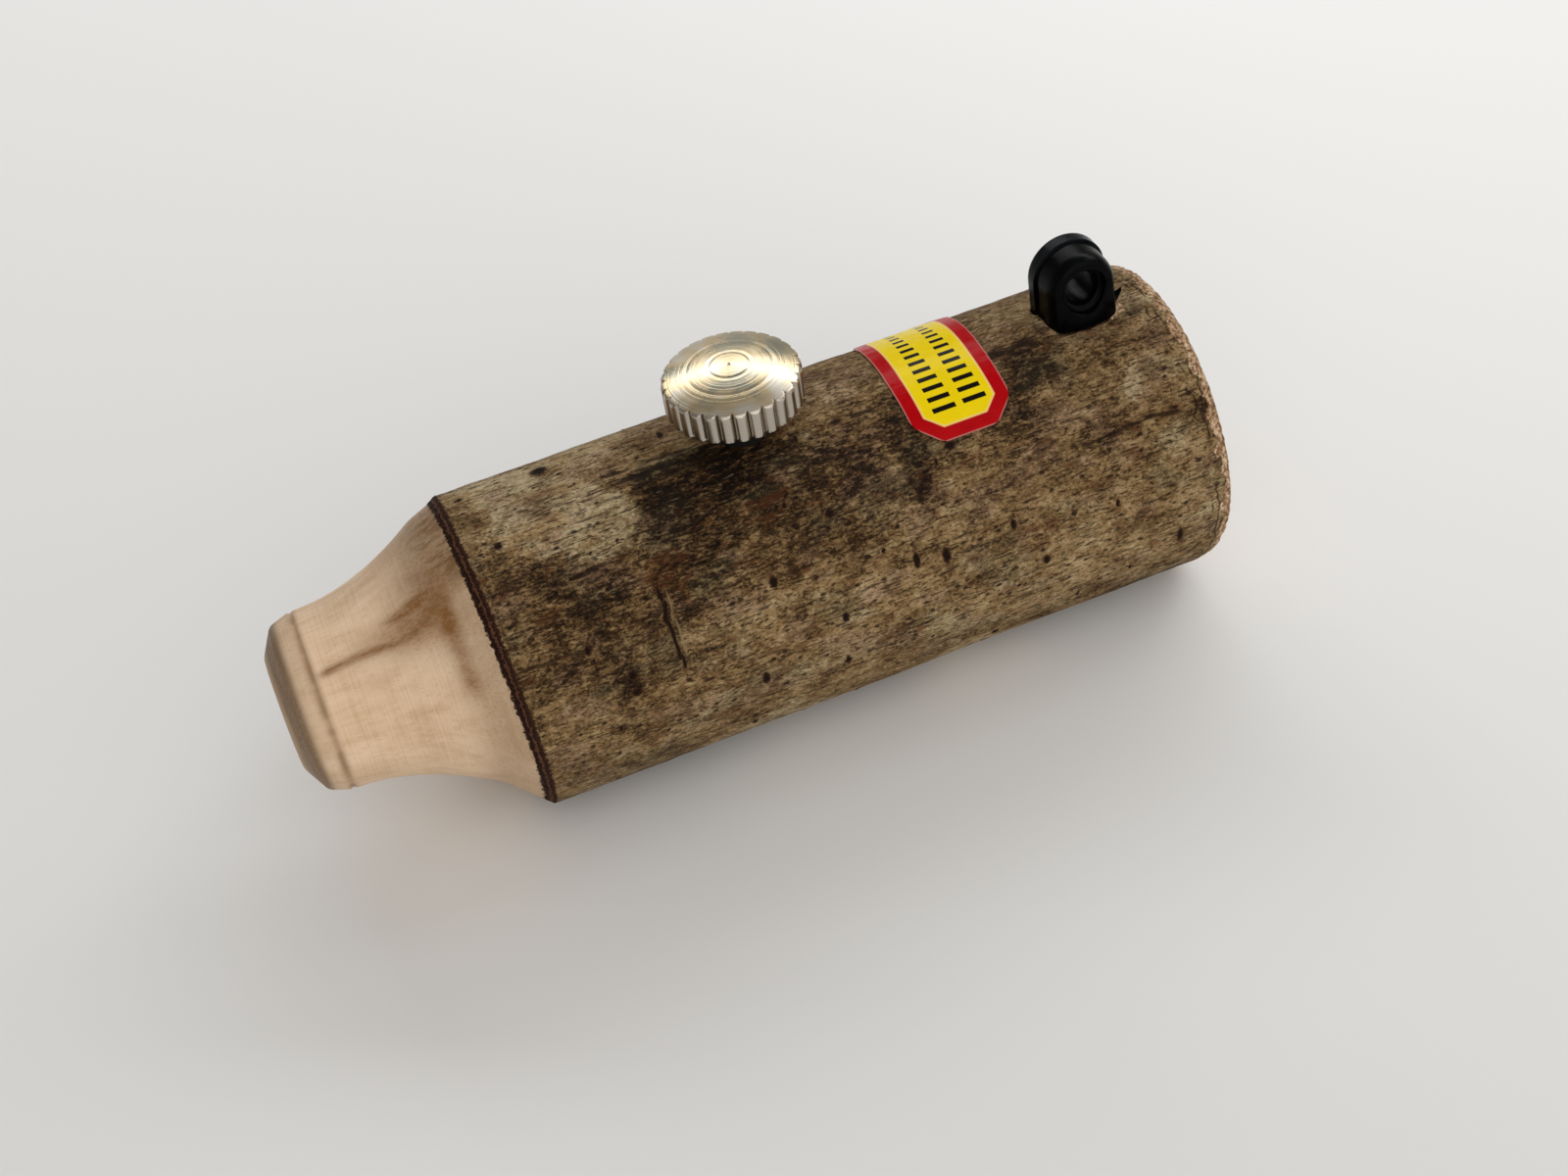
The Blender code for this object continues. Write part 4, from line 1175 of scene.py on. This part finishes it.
def make_eye():
    plastic = moulded_finish("black_moulding", (0.0008, 0.0010, 0.0013), (0.011, 0.0125, 0.015), 0.14, 0.24,
                             depth=0.03, specular=0.045, worn=True)
    eye = add_form("cord_eye", eye_rows(), plastic, ring_rows=True)
    stem = [(EYE_FOOT + 0.6, EYE_STEM_RADIUS), (EYE_BOTTOM, EYE_STEM_RADIUS)]
    boolean(eye, [round_cutter("stem", EYE_STATION, EYE_SIDE, stem), burr()], "UNION")
    places = mesh_points(eye.data) - np.array((EYE_STATION, 0.0, EYE_CENTRE))
    reach = np.hypot(places[:, 0], places[:, 2])
    # Worn plastic and painted highlight: the shoulder and the rim, on the upper half only, are lighter grey
    shoulder = smoothstep(reach, EYE_RADIUS - 0.45, EYE_RADIUS - 0.1) * (places[:, 1] < EYE_FAR - 0.1)
    rim = smoothstep(reach, EYE_RADIUS + 0.05, EYE_RIM_RADIUS - 0.05)
    set_attribute(eye.data, "rubbed_and_sheen", smoothstep(places[:, 2], 0.0, 1.5) * (0.12 * shoulder + 0.7 * rim))
    smooth(eye, 38)
    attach(eye, "call_body")
    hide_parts("lanyard_eye")


# Label
def make_label():
    """A sheet over the rod, creased most at its far edge, with marks that place its print."""
    (start, _near, _low), (end, _far, _high) = node_box("label")
    half_width = (end - start) / 2
    half_arc = (LABEL_NEAR_ARC + LABEL_FAR_ARC) / 2
    straight = half_arc - LABEL_CORNER_CUT
    arcs = np.concatenate([
        np.linspace(-half_arc, -straight, 18, endpoint=False),
        np.linspace(-straight, straight, 130, endpoint=False),
        np.linspace(straight, half_arc, 19),
    ])
    widths = np.minimum(half_width, half_width + straight - np.abs(arcs))
    into_round = np.clip((np.abs(arcs) - half_arc) / LABEL_ROUND_LENGTH + 1, 0, 1)
    widths -= LABEL_ROUND_WIDTH * (1 - np.sqrt(1 - into_round ** 2))
    widths -= LABEL_CORNER_WEAR * bell(np.abs(arcs), straight, LABEL_CORNER_REACH)
    across = np.linspace(-1, 1, 81)[None, :] * widths[:, None]
    along = arcs[:, None] + 0 * across
    flat = np.stack([across, along, 0 * across], -1).reshape(-1, 3)
    crease = field(flat, 0.25, 1.1, 7.0).reshape(across.shape)
    inset = np.minimum(half_width - np.abs(across), half_arc - np.abs(along))
    inset = np.minimum(inset, (half_width + straight - np.abs(across) - np.abs(along)) / sqrt(2))
    far_side = smoothstep(-along, 0.0, half_arc)
    lift = LABEL_LIFT + crease * (0.02 + 0.05 * far_side) * smoothstep(2.2 - inset, 0, 2.0)
    radii = ROD_RADIUS + np.maximum(lift, LABEL_LEAST_LIFT)
    angles = ((LABEL_FAR_ARC - LABEL_NEAR_ARC) / 2 - along) / ROD_RADIUS
    stations = (start + end) / 2 + across + LABEL_SKEW * np.maximum(-along, -2.0)
    points = np.stack([stations, radii * np.sin(angles), radii * np.cos(angles)], -1)
    label = add_object("paper_label", grid_mesh("paper_label", to_world(points)), label_finish())
    for name, values in (("across", across), ("along", along), ("inset", inset)):
        set_attribute(label.data, name, values.ravel())
    paper = label.modifiers.new("paper", "SOLIDIFY")
    paper.thickness = LABEL_THICKNESS * MM
    paper.offset = 1.0
    apply_modifiers(label)
    smooth(label, 40)
    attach(label, "call_body")
    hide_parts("label")


# Finishes of the pieces that stay as they are
def dress_nodes():
    brass = metal_finish("turned_brass", (0.74, 0.54, 0.24), (0.6, 0.42, 0.17), 0.3)
    bronze = metal_finish("rolled_bronze", (0.70, 0.45, 0.22), (0.56, 0.34, 0.16), 0.3, (0.3, 6.0))
    steel = metal_finish("zinc_steel", (0.66, 0.66, 0.66), (0.5, 0.5, 0.51), 0.32)
    rubber = moulded_finish("seal_rubber", (0.014, 0.014, 0.014), (0.025, 0.024, 0.023), 0.5, 0.7)
    grey = moulded_finish("grey_moulding", (0.38, 0.38, 0.365), (0.30, 0.30, 0.29), 0.4, 0.55)
    finishes = {
        "threaded_bush": brass, "pressure_pad": brass, "reed_tongue": bronze, "reed_clamp": steel,
        "clamp_screw_near": steel, "clamp_screw_far": steel, "seal_ring": rubber, "tone_board": grey,
    }
    for name, finish in finishes.items():
        mesh = NODES[name].data
        mesh.materials.clear()
        mesh.materials.append(finish)


# Floor, light and camera
def make_floor():
    finish = Finish("pale_floor", roughness=0.9)
    right = finish.place.then("ShaderNodeSeparateXYZ", output="X")
    # Painted light: the floor is paler to the right, as if lit more from that side
    finish.set("Base Color", right.step(*FLOOR_STRETCH).mix(FLOOR_LEFT, FLOOR_RIGHT))
    ends = np.array((-FLOOR_HALF, FLOOR_HALF)) / MM
    corners = np.array([[(x, y, 0.0) for x in ends] for y in ends])
    add_object("floor", grid_mesh("floor", corners), finish.material)


def make_lamps():
    """A wide low window behind the call, and a small card on its right for the metal."""
    for name, (direction, distance, size, power, colour) in LAMPS.items():
        data = bpy.data.lights.new(name, "AREA")
        data.shape = "RECTANGLE"
        data.size, data.size_y = size
        data.energy = power
        data.color = colour
        lamp = bpy.data.objects.new(name, data)
        towards = Vector(direction).normalized()
        lamp.location = LAMP_TARGET + towards * distance
        lamp.rotation_euler = towards.to_track_quat("Z", "Y").to_euler()
        bpy.context.scene.collection.objects.link(lamp)


def make_room():
    """A dim room, lit softly from in front, with a paler band along the horizon."""
    world = bpy.data.worlds.new("room")
    bpy.context.scene.world = world
    world.use_nodes = True
    towards, start, full, strength = FRONT_LIGHT
    glow, fade, gone = HORIZON_LIGHT
    direction = Value(new_node(world.node_tree, "ShaderNodeTexCoord").outputs["Generated"])
    facing = direction.then("ShaderNodeVectorMath", towards, output="Value", operation="DOT_PRODUCT")
    height = direction.then("ShaderNodeSeparateXYZ", output="Z")
    light = facing.step(start, full, 0.0, strength) + ROOM_LIGHT + abs(height).step(fade, gone, glow, 0.0)
    background = world.node_tree.nodes["Background"].inputs
    feed(background["Color"], height.ramp((0.0, (1.0, 0.96, 0.89)), (0.5, (1.0, 0.975, 0.94))))
    feed(background["Strength"], light)


def make_camera():
    data = bpy.data.cameras.new("camera")
    data.lens = CAMERA_LENS
    data.sensor_width = 36.0
    camera = bpy.data.objects.new("camera", data)
    flat = cos(CAMERA_ELEVATION)
    back = Vector((sin(CAMERA_AZIMUTH) * flat, -cos(CAMERA_AZIMUTH) * flat, sin(CAMERA_ELEVATION)))
    level = Vector((0, 0, 1)).cross(back).normalized()
    right = level * cos(CAMERA_ROLL) + back.cross(level) * sin(CAMERA_ROLL)
    turn = Matrix((right, back.cross(right), back)).transposed()
    camera.matrix_world = Matrix.Translation(CAMERA_PLACE) @ turn.to_4x4()
    bpy.context.scene.collection.objects.link(camera)
    bpy.context.scene.camera = camera


make_camera()
make_rod()
make_knob()
make_stem()
make_friction_ring()
make_eye()
make_label()
dress_nodes()
make_floor()
make_room()
make_lamps()
bpy.context.scene.view_settings.view_transform = "Standard"
